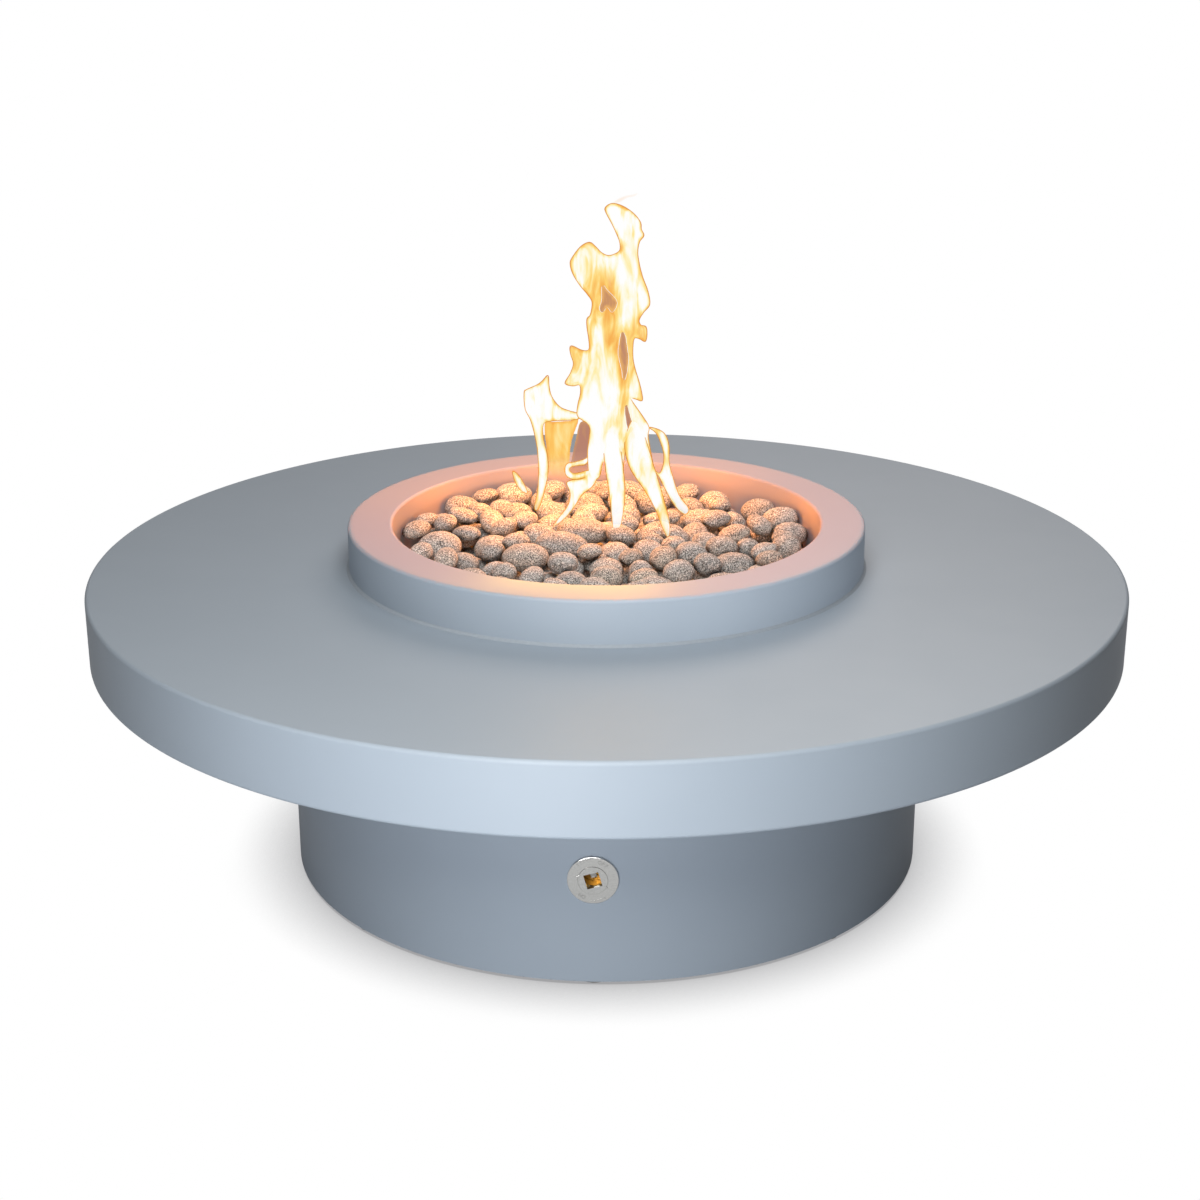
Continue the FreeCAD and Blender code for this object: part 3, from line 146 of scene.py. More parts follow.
class Finish(Nodes):
    """A material under construction, with its main shader."""

    def __init__(self, name, **shader_settings):
        self.material = bpy.data.materials.new(name)
        self.material.use_nodes = True
        super().__init__(self.material.node_tree)
        self.shader = self.tree.nodes["Principled BSDF"]
        for socket, value in shader_settings.items():
            self.shader.inputs[socket.replace("_", " ").title().replace("Ior", "IOR")].default_value = value

    def bump(self, height, depth):
        """Bump the surface by a height pattern of this depth in metres."""
        node = self.add("ShaderNodeBump", {"Height": height}, in_strength=1.0, in_distance=depth)
        self.tree.links.new(node.outputs["Normal"], self.shader.inputs["Normal"])

    def painted_crevice_shade(self, unshaded, reach, stops):
        """A colour darkened where other surfaces are within reach: painted shade in corners, edges and gaps.
        """
        open_air = self.add("ShaderNodeAmbientOcclusion", in_distance=reach)
        open_air.samples = 8
        return self.multiplied(unshaded, self.ramp(open_air.outputs["AO"], stops))

    def paint(self, output, socket="Base Color"):
        self.tree.links.new(output, self.shader.inputs[socket])

    def surface(self, output):
        """Use another shader than the main one."""
        self.tree.links.new(output, self.tree.nodes["Material Output"].inputs["Surface"])


def powder_coat():
    """Polyester powder coat, baked on steel: an even satin skin with a very fine orange peel.

    The peel of about 1.5 mm is drawn at 3 mm, since finer waves don't show from a step away.
    """
    finish = Finish("satin powder coat", roughness=0.5, ior=1.5)
    place = finish.add("ShaderNodeTexCoord").outputs["Object"]
    cloud = finish.add("ShaderNodeTexNoise", {"Vector": place}, in_scale=7.0, in_detail=3.0)
    finish.paint(finish.ramp(cloud.outputs["Fac"], [(0.3, colour("939FAD")), (0.7, colour("95A1AF"))]))
    peel = finish.add("ShaderNodeTexNoise", {"Vector": place}, in_scale=1 / (3 * MM), in_detail=1.0)
    finish.bump(peel.outputs["Fac"], 0.02 * MM)
    sheen = finish.add("ShaderNodeTexNoise", {"Vector": place}, in_scale=18.0, in_detail=4.0)
    finish.paint(finish.between(sheen.outputs["Fac"], (0.0, 1.0), (0.46, 0.54)), "Roughness")
    return finish.material


def plain_metal(name, hex_value, roughness, grain=0.4 * MM, crevice_shade_reach=0.6 * MM):
    """A machined or drawn metal with fine tool marks, and painted shade in its inner edges."""
    finish = Finish(name, metallic=1.0, roughness=roughness)
    place = finish.add("ShaderNodeTexCoord").outputs["Object"]
    marks = finish.add("ShaderNodeTexNoise", {"Vector": place}, in_scale=1 / (2.5 * grain), in_detail=3.0)
    value = colour(hex_value)
    darker = (*[c * 0.82 for c in value[:3]], 1.0)
    unshaded = finish.ramp(marks.outputs["Fac"], [(0.35, darker), (0.65, value)])
    # Painted shade in the inner edges, where other surfaces come near.
    finish.paint(finish.painted_crevice_shade(unshaded, crevice_shade_reach, [(0.4, colour("5A5650")), (0.9, colour("FFFFFF"))]))
    rough = finish.between(marks.outputs["Fac"], (0.0, 1.0), (max(0.04, roughness - 0.06), roughness + 0.08))
    finish.paint(rough, "Roughness")
    finish.bump(marks.outputs["Fac"], 0.01 * MM)
    return finish.material


def soft_plastic(name, hex_value, roughness, shade=0.8):
    """Rubber, sealant or plastic: moulded or smoothed, with a faint mottle down to a share of its tone."""
    finish = Finish(name, roughness=roughness, ior=1.5)
    place = finish.add("ShaderNodeTexCoord").outputs["Object"]
    mottle = finish.add("ShaderNodeTexNoise", {"Vector": place}, in_scale=1 / (4 * MM), in_detail=2.0)
    value = colour(hex_value)
    darker = (*[c * shade for c in value[:3]], 1.0)
    finish.paint(finish.ramp(mottle.outputs["Fac"], [(0.35, darker), (0.65, value)]))
    finish.bump(mottle.outputs["Fac"], 0.05 * MM)
    return finish.material


def crushed_lava():
    """Crushed lava gravel of about 6 mm, dark and rough, each grain with painted shade towards the gaps
    between grains.
    """
    finish = Finish("crushed lava", roughness=0.95, ior=1.5)
    place = finish.add("ShaderNodeTexCoord").outputs["Object"]
    grains = finish.add("ShaderNodeTexVoronoi", {"Vector": place}, in_scale=1 / (6 * MM))
    # Each grain lighter in its middle and darker towards its edges: painted shade in the gaps between
    # grains.
    finish.paint(finish.ramp(grains.outputs["Distance"], [(0.0, colour("5E5752")), (0.8, colour("1E1B1A"))]))
    finish.bump(grains.outputs["Distance"], -2 * MM)
    return finish.material


def tumbled_lava():
    """Vesicular lava, tumbled smooth: a grey matrix of light and dark crystals with open pores painted near
    black, which is painted shade inside them.

    The real pores of 0.5 to 1.5 mm are drawn at up to 2 mm, so that they show from a step away.
    """
    finish = Finish("tumbled lava", roughness=0.88, ior=1.5)
    place = finish.add("ShaderNodeTexCoord").outputs["Object"]
    grain = finish.add("ShaderNodeTexNoise", {"Vector": place}, in_scale=1 / (1.4 * MM), in_detail=2.0)
    crystals = finish.ramp(grain.outputs["Fac"], [
        (0.36, colour("6A6B6D")), (0.46, colour("9A9B9D")),
        (0.55, colour("BEBFC1")), (0.64, colour("EEEEEF")),
    ])
    pores = finish.add("ShaderNodeTexVoronoi", {"Vector": place}, in_scale=1 / (2.3 * MM))
    open_pore = finish.between(pores.outputs["Distance"], (0.22, 0.33))
    patch = finish.add("ShaderNodeTexNoise", {"Vector": place}, in_scale=1 / (14 * MM), in_detail=2.0)
    filled = finish.between(patch.outputs["Fac"], (0.42, 0.62))
    closed = finish.add("ShaderNodeMath", {0: open_pore, 1: filled}, operation="MAXIMUM").outputs[0]
    # The pores are painted near black: painted shade inside them.
    pitted = finish.add("ShaderNodeMix", {"Factor": closed, "B": crystals}, data_type="RGBA")
    pitted.inputs["A"].default_value = colour("2E2C2B")
    tint = finish.add("ShaderNodeAttribute", attribute_name="stone_tint")
    tinted = finish.multiplied(pitted.outputs["Result"], tint.outputs["Color"])
    # Painted shade, darkest where stones meet.
    finish.paint(finish.painted_crevice_shade(tinted, 13 * MM, [(0.28, colour("221C18")), (0.68, colour("FFFFFF"))]))
    finish.bump(closed, 0.5 * MM)
    return finish.material


MATERIALS = {
    "powder_coated_steel": powder_coat(),
    "zinc_plated_steel": plain_metal("zinc plated steel", "B9BCC0", 0.35),
    "stainless_steel": plain_metal("stainless steel", "A9A8A5", 0.32),
    "brass": plain_metal("turned brass", "C9A45C", 0.28),
    # The chrome plate gets a wider painted shade round its marks and along its edge at the drum.
    "chrome_plate": plain_metal("satin chrome plate", "DADAD8", 0.16, crevice_shade_reach=1.6 * MM),
    "rubber": soft_plastic("grey moulded rubber", "8C8C8B", 0.8),
    "sealant": soft_plastic("silicone sealant", "929CA8", 0.6, shade=0.95),
    "seat_plastic": soft_plastic("white fluoroplastic", "E4E3DE", 0.5),
    "crushed_lava": crushed_lava(),
    "tumbled_lava": tumbled_lava(),
}


def finish_cad_nodes():
    for part in frame["record"]["subparts"]:
        mesh = nodes[part["node"]].data
        mesh.materials.clear()
        mesh.materials.append(MATERIALS[part["material_slot"]])


finish_cad_nodes()


def select_only(*objects):
    bpy.ops.object.select_all(action="DESELECT")
    for thing in objects:
        thing.select_set(True)
    bpy.context.view_layer.objects.active = objects[0]


def join(objects, name):
    select_only(*objects)
    if len(objects) > 1:
        bpy.ops.object.join()
    piece = bpy.context.object
    piece.name = name
    return piece


def apply_modifier(piece, kind, **settings):
    select_only(piece)
    modifier = piece.modifiers.new(kind.lower(), kind)
    for key, value in settings.items():
        setattr(modifier, key, value)
    bpy.ops.object.modifier_apply(modifier=modifier.name)


def as_piece(piece, slot, *replaced):
    """Hand a finished piece over: its body, its material slot and the nodes that it stands for."""
    piece.data.materials.clear()
    piece.data.materials.append(MATERIALS[slot])
    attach(piece, "table")
    if replaced:
        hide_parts(*replaced)


def corners(mesh):
    spots = np.empty(len(mesh.vertices) * 3)
    mesh.vertices.foreach_get("co", spots)
    return spots.reshape(-1, 3)


# The rolled tabletop and collar, turned finely so that their rounded edges run smooth

ARC_STEPS = 8
SPIN_STEPS = 512
SUPPORT = 0.8 * MM
SMOOTH_UP_TO = math.radians(35)
WELD = 0.01 * MM


def rounded(outline):
    """Points of a closed outline of (across, up, radius), with an arc at each corner that has a radius.

    A point beside each end of an arc keeps the shading of the flat that follows it flat.
    """
    points = []
    count = len(outline)
    for index, (across, up, radius) in enumerate(outline):
        corner = Vector((across, up))
        if not radius:
            points.append(corner)
            continue
        before = (Vector(outline[index - 1][:2]) - corner).normalized()
        after = (Vector(outline[(index + 1) % count][:2]) - corner).normalized()
        middle = corner + (before + after) * radius
        points.append(corner + before * (radius + SUPPORT))
        for step in range(ARC_STEPS + 1):
            turn = math.pi / 2 * step / ARC_STEPS
            points.append(middle - after * radius * math.cos(turn) - before * radius * math.sin(turn))
        points.append(corner + after * (radius + SUPPORT))
    return points


def turn_piece(name, outline, slot):
    """A ring-shaped piece, turned about the table's own axis from its outline."""
    points = rounded(outline)
    mesh = bpy.data.meshes.new(name)
    edges = [(index, (index + 1) % len(points)) for index in range(len(points))]
    mesh.from_pydata([(point.x, 0, point.y) for point in points], edges, [])
    piece = bpy.data.objects.new(name, mesh)
    bpy.context.scene.collection.objects.link(piece)
    select_only(piece)
    bpy.ops.object.mode_set(mode="EDIT")
    bpy.ops.mesh.select_all(action="SELECT")
    bpy.ops.mesh.spin(steps=SPIN_STEPS, angle=2 * math.pi, axis=(0, 0, 1), center=(0, 0, 0))
    bpy.ops.mesh.select_all(action="SELECT")
    bpy.ops.mesh.remove_doubles(threshold=WELD)
    bpy.ops.mesh.normals_make_consistent(inside=False)
    bpy.ops.object.mode_set(mode="OBJECT")
    bpy.ops.object.shade_smooth_by_angle(angle=SMOOTH_UP_TO)
    as_piece(piece, slot, name.removesuffix("_turned"))


# The seal's section, a hollow fillet, in shares of its width out from the collar and up from the tabletop.
SEAL_HOLLOW = ((0, 0), (0, 1), (0.29, 0.62), (0.62, 0.29), (1, 0))


def turn_sheet_pieces():
    inner, lip = TOP_RADIUS - SHEET, TOP_RADIUS - TOP_LIP
    turn_piece("tabletop_turned", [
        (HOLE_RADIUS, TOP_HEIGHT - SHEET, 0),
        (inner, TOP_HEIGHT - SHEET, TOP_EDGE_ROUND - SHEET),
        (inner, TOP_LOW + SHEET, TOP_EDGE_ROUND - SHEET),
        (lip, TOP_LOW + SHEET, 0),
        (lip, TOP_LOW, 0),
        (TOP_RADIUS, TOP_LOW, TOP_EDGE_ROUND),
        (TOP_RADIUS, TOP_HEIGHT, TOP_EDGE_ROUND),
        (HOLE_RADIUS, TOP_HEIGHT, 0),
    ], "powder_coated_steel")
    inside = COLLAR_TOP - SHEET
    turn_piece("fire_collar_turned", [
        (COLLAR_RADIUS, TOP_HEIGHT, 0),
        (COLLAR_RADIUS, COLLAR_TOP, COLLAR_EDGE_ROUND),
        (BOWL_RADIUS, COLLAR_TOP, COLLAR_EDGE_ROUND),
        (BOWL_RADIUS, COLLAR_LOW, 0),
        (BOWL_RADIUS + SHEET, COLLAR_LOW, 0),
        (BOWL_RADIUS + SHEET, inside, COLLAR_EDGE_ROUND - SHEET),
        (COLLAR_RADIUS - SHEET, inside, COLLAR_EDGE_ROUND - SHEET),
        (COLLAR_RADIUS - SHEET, TOP_HEIGHT, 0),
    ], "powder_coated_steel")
    bead = SEAL_RADIUS - COLLAR_RADIUS
    turn_piece("collar_seal_turned", [
        (COLLAR_RADIUS + out * bead, TOP_HEIGHT + up * bead, 0) for out, up in SEAL_HOLLOW
    ], "sealant")


turn_sheet_pieces()


# The heap of tumbled lava

def measure_egg(points):
    """Centre, axes as columns, and half-axes of the ellipsoid whose surface holds these points."""
    centre = (points.min(axis=0) + points.max(axis=0)) / 2
    x, y, z = (points - centre).T
    rows = np.stack([x * x, y * y, z * z, 2 * x * y, 2 * x * z, 2 * y * z], axis=1)
    xx, yy, zz, xy, xz, yz = np.linalg.lstsq(rows, np.ones(len(rows)), rcond=None)[0]
    spread, axes = np.linalg.eigh(np.array([[xx, xy, xz], [xy, yy, yz], [xz, yz, zz]]))
    if np.linalg.det(axes) < 0:
        axes[:, 2] *= -1
    return centre, axes, 1 / np.sqrt(spread)


def stones_of(node):
    """The stones of a CAD node, measured one by one on a copy of its mesh."""
    heap = nodes[node].copy()
    heap.data = nodes[node].data.copy()
    bpy.context.scene.collection.objects.link(heap)
    select_only(heap)
    bpy.ops.object.mode_set(mode="EDIT")
    bpy.ops.mesh.select_all(action="SELECT")
    bpy.ops.mesh.remove_doubles(threshold=WELD)
    bpy.ops.mesh.separate(type="LOOSE")
    bpy.ops.object.mode_set(mode="OBJECT")
    singles = list(bpy.context.selected_objects)
    stones = [measure_egg(corners(single.data)) for single in singles]
    for single in singles:
        bpy.data.objects.remove(single)
    return sorted(stones, key=lambda stone: tuple(stone[0]))


# How much a stone tapers along its first axis and flattens across it, and how high its lumps stand.
STONE_TAPER = 0.10
STONE_FLAT = 0.06
LUMP_HEIGHT = 0.03
LUMPS_PER_RADIUS = 1.3
# The darkest and lightest stone's tone, and how much warmer some stones are.
STONE_TONES = (0.82, 1.05)
STONE_WARMTH = 0.05
DENT_DEPTH = 0.8 * MM
PORE_DEPTH = 0.5 * MM


def make_stone(stone, level, chance):
    """An egg-shaped, slightly lumpy stone within its ellipsoid."""
    centre, axes, halves = stone
    bpy.ops.mesh.primitive_ico_sphere_add(subdivisions=level, radius=1.0)
    piece = bpy.context.object
    spots = corners(piece.data)
    taper = chance.uniform(-STONE_TAPER, STONE_TAPER)
    flat = chance.uniform(-STONE_FLAT, STONE_FLAT)
    along = spots[:, 0:1]
    spots[:, 1:3] *= 1 + taper * along - abs(taper) * 0.5
    spots[:, 2:3] *= 1 + flat * spots[:, 1:2] - abs(flat) * 0.5
    where = Vector([chance.uniform(0, 50) for _ in range(3)])
    lumps = np.array([noise.noise(Vector(spot) * LUMPS_PER_RADIUS + where) for spot in spots])
    spots *= (0.99 + LUMP_HEIGHT * np.minimum(lumps, 0.3))[:, None]
    spots = centre + (spots * halves) @ axes.T
    piece.data.vertices.foreach_set("co", spots.ravel())
    tone = chance.uniform(*STONE_TONES)
    warm = max(0.0, chance.gauss(0.0, STONE_WARMTH))
    tint = piece.data.color_attributes.new("stone_tint", "FLOAT_COLOR", "POINT")
    value = (tone * (1 + warm), tone, tone * (1 - warm), 1.0)
    tint.data.foreach_set("color", value * len(piece.data.vertices))
    return piece


def add_texture(name, kind, size):
    texture = bpy.data.textures.new(name, kind)
    texture.noise_scale = size
    return texture


def make_heap(node, level, piece_count, chance):
    """Pieces that stand for one node of the heap, each with its share of the stones."""
    stones = stones_of(node)
    for index in range(piece_count):
        share = stones[index * len(stones) // piece_count:(index + 1) * len(stones) // piece_count]
        piece = join([make_stone(stone, level, chance) for stone in share], f"{node}_{index + 1}")
        apply_modifier(piece, "DISPLACE", texture=DENTS, strength=DENT_DEPTH, mid_level=0.9,
                       texture_coords="LOCAL")
        apply_modifier(piece, "DISPLACE", texture=PORES, strength=PORE_DEPTH, mid_level=1.0,
                       texture_coords="LOCAL")
        select_only(piece)
        bpy.ops.object.shade_smooth()
        as_piece(piece, "tumbled_lava", node)


DENTS = add_texture("dents of worn stone", "CLOUDS", 9 * MM)
PORES = add_texture("open pores", "VORONOI", 4 * MM)
heap_chance = random.Random(7)
make_heap("lava_stones_upper", 4, 4, heap_chance)
make_heap("lava_stones_lower", 3, 1, heap_chance)


# Marks on the valve's cover plate

# How far the plate's raised ring stands before its face, and the sizes of the marks.
RING_RISE = 0.6 * MM
WORD_RADIUS = 20.2 * MM
LETTER_HEIGHT = 4.2 * MM
LETTER_PITCH = 0.86 * LETTER_HEIGHT
FONT_SIZE = 1.35 * LETTER_HEIGHT
LETTER_DEPTH = 0.25 * MM
LETTER_SWELL = 0.02 * MM
TICK_RADIUS = 24.0 * MM
TICK_SIZE = (0.7 * MM, 2.2 * MM, 0.5 * MM)
TICK_BEVEL = 0.12 * MM
POINTER_RADIUS = 1.7 * MM
POINTER_DEPTH = 0.9 * MM
POINTER_BEVEL = 0.15 * MM


def add_word(text, middle):
    """Raised letters along an arc about the plate's centre, read from the front."""
    letters = []
    step = LETTER_PITCH / WORD_RADIUS
    for index, letter in enumerate(text):
        bpy.ops.object.text_add()
        shape = bpy.context.object
        shape.data.body = letter
        shape.data.align_x = "CENTER"
        shape.data.size = FONT_SIZE
        shape.data.extrude = LETTER_DEPTH
        shape.data.offset = LETTER_SWELL
        bpy.ops.object.convert(target="MESH")
        angle = math.radians(middle) - step * (index - (len(text) - 1) / 2)
        letters.append(stand_on_plate(bpy.context.object, angle, WORD_RADIUS))
    return letters


def stand_on_plate(shape, angle, radius):
    """Move a flat shape from the origin to the plate's face, at a radius and with its top outwards."""
    place = (
        Matrix.Translation((0, PLATE_FRONT + RING_RISE, VALVE_HEIGHT))
        @ Matrix.Rotation(math.pi / 2, 4, "X")
        @ Matrix.Rotation(angle - math.pi / 2, 4, "Z")
        @ Matrix.Translation((0, radius, 0))
    )
    shape.data.transform(place @ shape.matrix_world)
    shape.matrix_world = Matrix.Identity(4)
    return shape


def add_tick(angle):
    """A short raised bar with bevelled edges, pointing away from the plate's centre."""
    bpy.ops.mesh.primitive_cube_add(size=1.0)
    bar = bpy.context.object
    bar.data.transform(Matrix.Diagonal((*TICK_SIZE, 1.0)))
    apply_modifier(bar, "BEVEL", width=TICK_BEVEL, segments=2)
    return stand_on_plate(bar, math.radians(angle), TICK_RADIUS)


def add_pointer(across, up, turn):
    """A small raised arrowhead on the plate, seen from the front at this place from its centre."""
    bpy.ops.mesh.primitive_cylinder_add(vertices=3, radius=POINTER_RADIUS, depth=POINTER_DEPTH)
    head = bpy.context.object
    apply_modifier(head, "BEVEL", width=POINTER_BEVEL, segments=2)
    place = (
        Matrix.Translation((across, PLATE_FRONT + RING_RISE, VALVE_HEIGHT + up))
        @ Matrix.Rotation(math.pi / 2, 4, "X")
        @ Matrix.Rotation(math.radians(turn), 4, "Z")
    )
    head.data.transform(place)
    return head


def add_plate_marks():
    marks = add_word("OFF", 60) + add_word("ON", 238)
    marks += [add_tick(angle) for start in (96, 266) for angle in range(start, start + 45, 9)]
    marks += [add_pointer(-15.6 * MM, 4.5 * MM, 200), add_pointer(14.3 * MM, -8.0 * MM, 20)]
    as_piece(join(marks, "valve_plate_marks"), "chrome_plate")


add_plate_marks()


# Camera at the photograph's place. Its frame is 1200 by 1200, with this focal length on a 36 mm sensor.
CAMERA_PLACE = Vector((0.0888, -2.3229, 1.1072))
CAMERA_LENS = 61.012
CAMERA_TILT = math.radians(71.029)
CAMERA_TURN = math.radians(2.380)
CAMERA_ROLL = math.radians(-0.114)


def add_camera():
    data = bpy.data.cameras.new("camera")
    data.lens = CAMERA_LENS
    data.sensor_width = 36
    data.clip_end = 100
    camera = bpy.data.objects.new("camera", data)
    bpy.context.scene.collection.objects.link(camera)
    camera.matrix_world = (
        Matrix.Translation(CAMERA_PLACE)
        @ Matrix.Rotation(CAMERA_TURN, 4, "Z")
        @ Matrix.Rotation(CAMERA_TILT, 4, "X")
        @ Matrix.Rotation(CAMERA_ROLL, 4, "Z")
    )
    bpy.context.scene.camera = camera


add_camera()


# The flame, part of the stage: thin glowing sheets, lens-shaped across, the fire sheets each with a bright
# seam round it.
# Outlines lie in the upright plane through the table's axis: distances across and up in millimetres.
FLAME_OUTLINES = {
    "column": (
        (-1, 778), (7, 783), (19, 780), (31, 772), (39, 762), (40, 754), (43, 747), (38, 740), (36, 728),
        (38, 714), (42, 699), (48, 683), (50, 668), (43, 659), (38, 650), (40, 644), (46, 642), (47, 632),
        (45, 625), (39, 628), (33, 629), (31, 621), (31, 605), (34, 591), (38, 578), (41, 566), (42, 555),
        (34, 557), (28, 558), (35, 547), (44, 534), (50, 523), (49, 513), (52, 495), (56, 474), (60, 456),
        (54, 462), (46, 478), (38, 489), (30, 501), (24, 498), (21, 486), (19, 465), (14, 459), (4, 460),
        (0, 470), (-2, 486), (-5, 478), (-8, 463), (-15, 458), (-20, 465), (-22, 489), (-20, 508),
        (-19, 521), (-23, 528), (-28, 531), (-34, 537), (-33, 550), (-30, 563), (-31, 573), (-39, 572),
        (-48, 575), (-42, 586), (-38, 598), (-41, 609), (-42, 617), (-39, 619), (-28, 614), (-20, 615),
        (-20, 627), (-22, 641), (-22, 651), (-18, 656), (-16, 670), (-21, 679), (-30, 690), (-38, 703),
        (-41, 714), (-39, 721), (-29, 734), (-19, 739), (-12, 734), (-5, 727), (4, 724), (15, 729),
        (16, 738), (13, 747), (7, 760), (1, 771),
    ),
    "gap_high": (
        (-5, 692), (1, 685), (9, 677), (13, 669), (7, 658), (1, 665), (-4, 658), (-8, 663), (-5, 674),
    ),
    "gap_low": (
        (18, 637), (15, 623), (14, 609), (18, 591), (20, 577), (24, 587), (26, 605), (24, 621), (22, 632),
    ),
    "gap_mid": (
        (23, 555), (22, 540), (26, 518), (31, 523), (27, 541),
    ),
    "right_lobe": (
        (50, 523), (62, 520), (70, 513), (74, 499), (74, 481), (79, 462), (86, 441), (98, 424), (93, 417),
        (81, 428), (70, 448), (63, 462), (57, 471), (63, 467), (67, 476), (68, 490), (64, 505), (58, 517),
    ),
    "streak_right": (
        (35, 536), (46, 509), (56, 476), (66, 443), (75, 407), (74, 388), (67, 400), (58, 424), (45, 447),
        (27, 476), (22, 508),
    ),
    "streak_mid": (
        (-3, 513), (13, 513), (19, 480), (22, 447), (20, 419), (14, 388), (9, 390), (6, 419), (3, 447),
        (-1, 475),
    ),
    "streak_left": (
        (-20, 508), (-8, 513), (-6, 480), (-14, 454), (-29, 440), (-37, 427), (-49, 411), (-64, 400),
        (-56, 412), (-45, 428), (-43, 443), (-47, 454), (-40, 458), (-26, 461), (-20, 475),
    ),
    "loop": (
        (-18, 490), (-25, 484), (-37, 480), (-46, 478), (-49, 471), (-47, 463), (-39, 459), (-26, 461),
        (-18, 468), (-22, 470), (-28, 468), (-39, 466), (-44, 470), (-42, 474), (-34, 476), (-24, 478),
    ),
    "left_crest": (
        (-96, 563), (-93, 567), (-82, 572), (-75, 577), (-68, 584), (-67, 572), (-64, 559), (-55, 547),
        (-44, 542), (-34, 539), (-32, 533), (-43, 531), (-62, 530), (-74, 526), (-74, 507), (-70, 489),
        (-69, 470), (-73, 446), (-81, 422), (-86, 423), (-82, 442), (-80, 465), (-81, 493), (-84, 512),
        (-89, 531), (-95, 544),
    ),
    "left_haze": (
        (-73, 525), (-62, 529), (-43, 530), (-32, 533), (-40, 508), (-43, 487), (-44, 466), (-50, 440),
        (-66, 440), (-71, 461), (-69, 479),
    ),
    "column_haze": (
        (-18, 521), (-30, 529), (-36, 508), (-41, 484), (-44, 461), (-18, 461),
    ),
    "tongue": (
        (-111, 468), (-104, 463), (-97, 451), (-94, 441), (-102, 445), (-108, 455),
    ),
    "wisp": (
        (7, 783), (12, 788), (21, 792), (32, 794), (37, 796), (33, 791), (24, 789), (16, 784),
    ),
}
# Name, outline and holes, finish, depth behind the axis at the top and at the foot of the sheet.
FLAME_SHEETS = (
    ("column", ("column", "gap_high", "gap_low", "gap_mid"), "fire", 60, 50),
    ("right_lobe", ("right_lobe",), "fire", 62, 92),
    ("streak_right", ("streak_right",), "fire", 54, 8),
    ("streak_mid", ("streak_mid",), "fire", 52, 14),
    ("streak_left", ("streak_left",), "fire", 56, 42),
    ("loop", ("loop",), "fire", 54, 50),
    ("left_crest", ("left_crest",), "fire", 112, 118),
    ("tongue", ("tongue",), "fire", 150, 150),
    ("wisp", ("wisp",), "vapour", 60, 60),
    ("gap_high", ("gap_high",), "smoke", 64, 64),
    ("gap_low", ("gap_low",), "smoke", 64, 64),
    ("gap_mid", ("gap_mid",), "smoke", 64, 64),
    ("left_haze", ("left_haze",), "thin_fire", 122, 130),
    ("column_haze", ("column_haze",), "smoke", 96, 96),
)
# Half a sheet's thickness in its middle and at its edge, and how far it thins out along its edge.
SHEET_HALF = 9 * MM
SHEET_EDGE = 0.2 * MM
SHEET_SLOPE = 14 * MM
# A sheet starts as a flat plate of this half thickness, cut into cells of this size.
FLAT_HALF = 2 * MM
CELL = 1.6 * MM
# How far the warmer colour reaches from the flame's rim and from the dark gaps in it.
RIM_WARMTH = 4 * MM
HOLE_WARMTH = 22 * MM
SEAM_RADIUS = 0.7 * MM
# How long the fire's streaks are along each axis, and the heights between which it turns warmer, then paler,
# and between which metal mirrors it brightly.
STREAK_SIZE = (26 * MM, 60 * MM, 110 * MM)
WARM_HEIGHTS = (0.53, 0.60)
PALE_HEIGHTS = (0.64, 0.72)
MIRROR_HEIGHTS = (0.54, 0.62)
MIRRORED_FIRE = "FFC040"
LOOP_STEPS = 4


def smooth_loop(points):
    """A closed line through the points, rounded between them."""
    corner = np.array(points) * MM
    before, after, beyond = (np.roll(corner, shift, axis=0) for shift in (1, -1, -2))
    rows = []
    for step in range(LOOP_STEPS):
        s = step / LOOP_STEPS
        rows.append(0.5 * (
            2 * corner + (after - before) * s
            + (2 * before - 5 * corner + 4 * after - beyond) * s ** 2
            + (3 * corner - before - 3 * after + beyond) * s ** 3
        ))
    return np.stack(rows, axis=1).reshape(-1, 2)


def line_object(name, loops, **settings):
    """Closed lines as a mesh: filled flat and thickened, or as round seams."""
    data = bpy.data.curves.new(name, "CURVE")
    for key, value in settings.items():
        setattr(data, key, value)
    for loop in loops:
        spline = data.splines.new("POLY")
        spline.points.add(len(loop) - 1)
        spline.points.foreach_set("co", np.pad(loop, ((0, 0), (0, 2))).ravel())
        spline.use_cyclic_u = True
    thing = bpy.data.objects.new(name, data)
    bpy.context.scene.collection.objects.link(thing)
    select_only(thing)
    bpy.ops.object.convert(target="MESH")
    return bpy.context.object


def far_from(loops, spots):
    """The distance of each spot from the nearest point of the lines."""
    nearest = np.full(len(spots), np.inf)
    for loop in loops:
        for start, end in zip(loop, np.roll(loop, -1, axis=0)):
            along = end - start
            share = np.clip((spots - start) @ along / (along @ along), 0, 1)
            nearest = np.minimum(nearest, np.linalg.norm(spots - start - share[:, None] * along, axis=1))
    return nearest


def stand_in_fire(thing, loops, top_depth, foot_depth):
    """Stand a flat shape up at its depth, scaled about the camera so that its outline stays in place."""
    spots = corners(thing.data)
    high = max(loop[:, 1].max() for loop in loops)
    low = min(loop[:, 1].min() for loop in loops)
    share = (high - spots[:, 1]) / (high - low)
    depth = (top_depth + (foot_depth - top_depth) * share) * MM + spots[:, 2]
    upright = np.stack([spots[:, 0], np.zeros(len(spots)), spots[:, 1]], axis=1)
    camera = np.array(CAMERA_PLACE)
    scale = 1 - depth / camera[1]
    thing.data.vertices.foreach_set("co", (camera + (upright - camera) * scale[:, None]).ravel())
    thing.data.update()


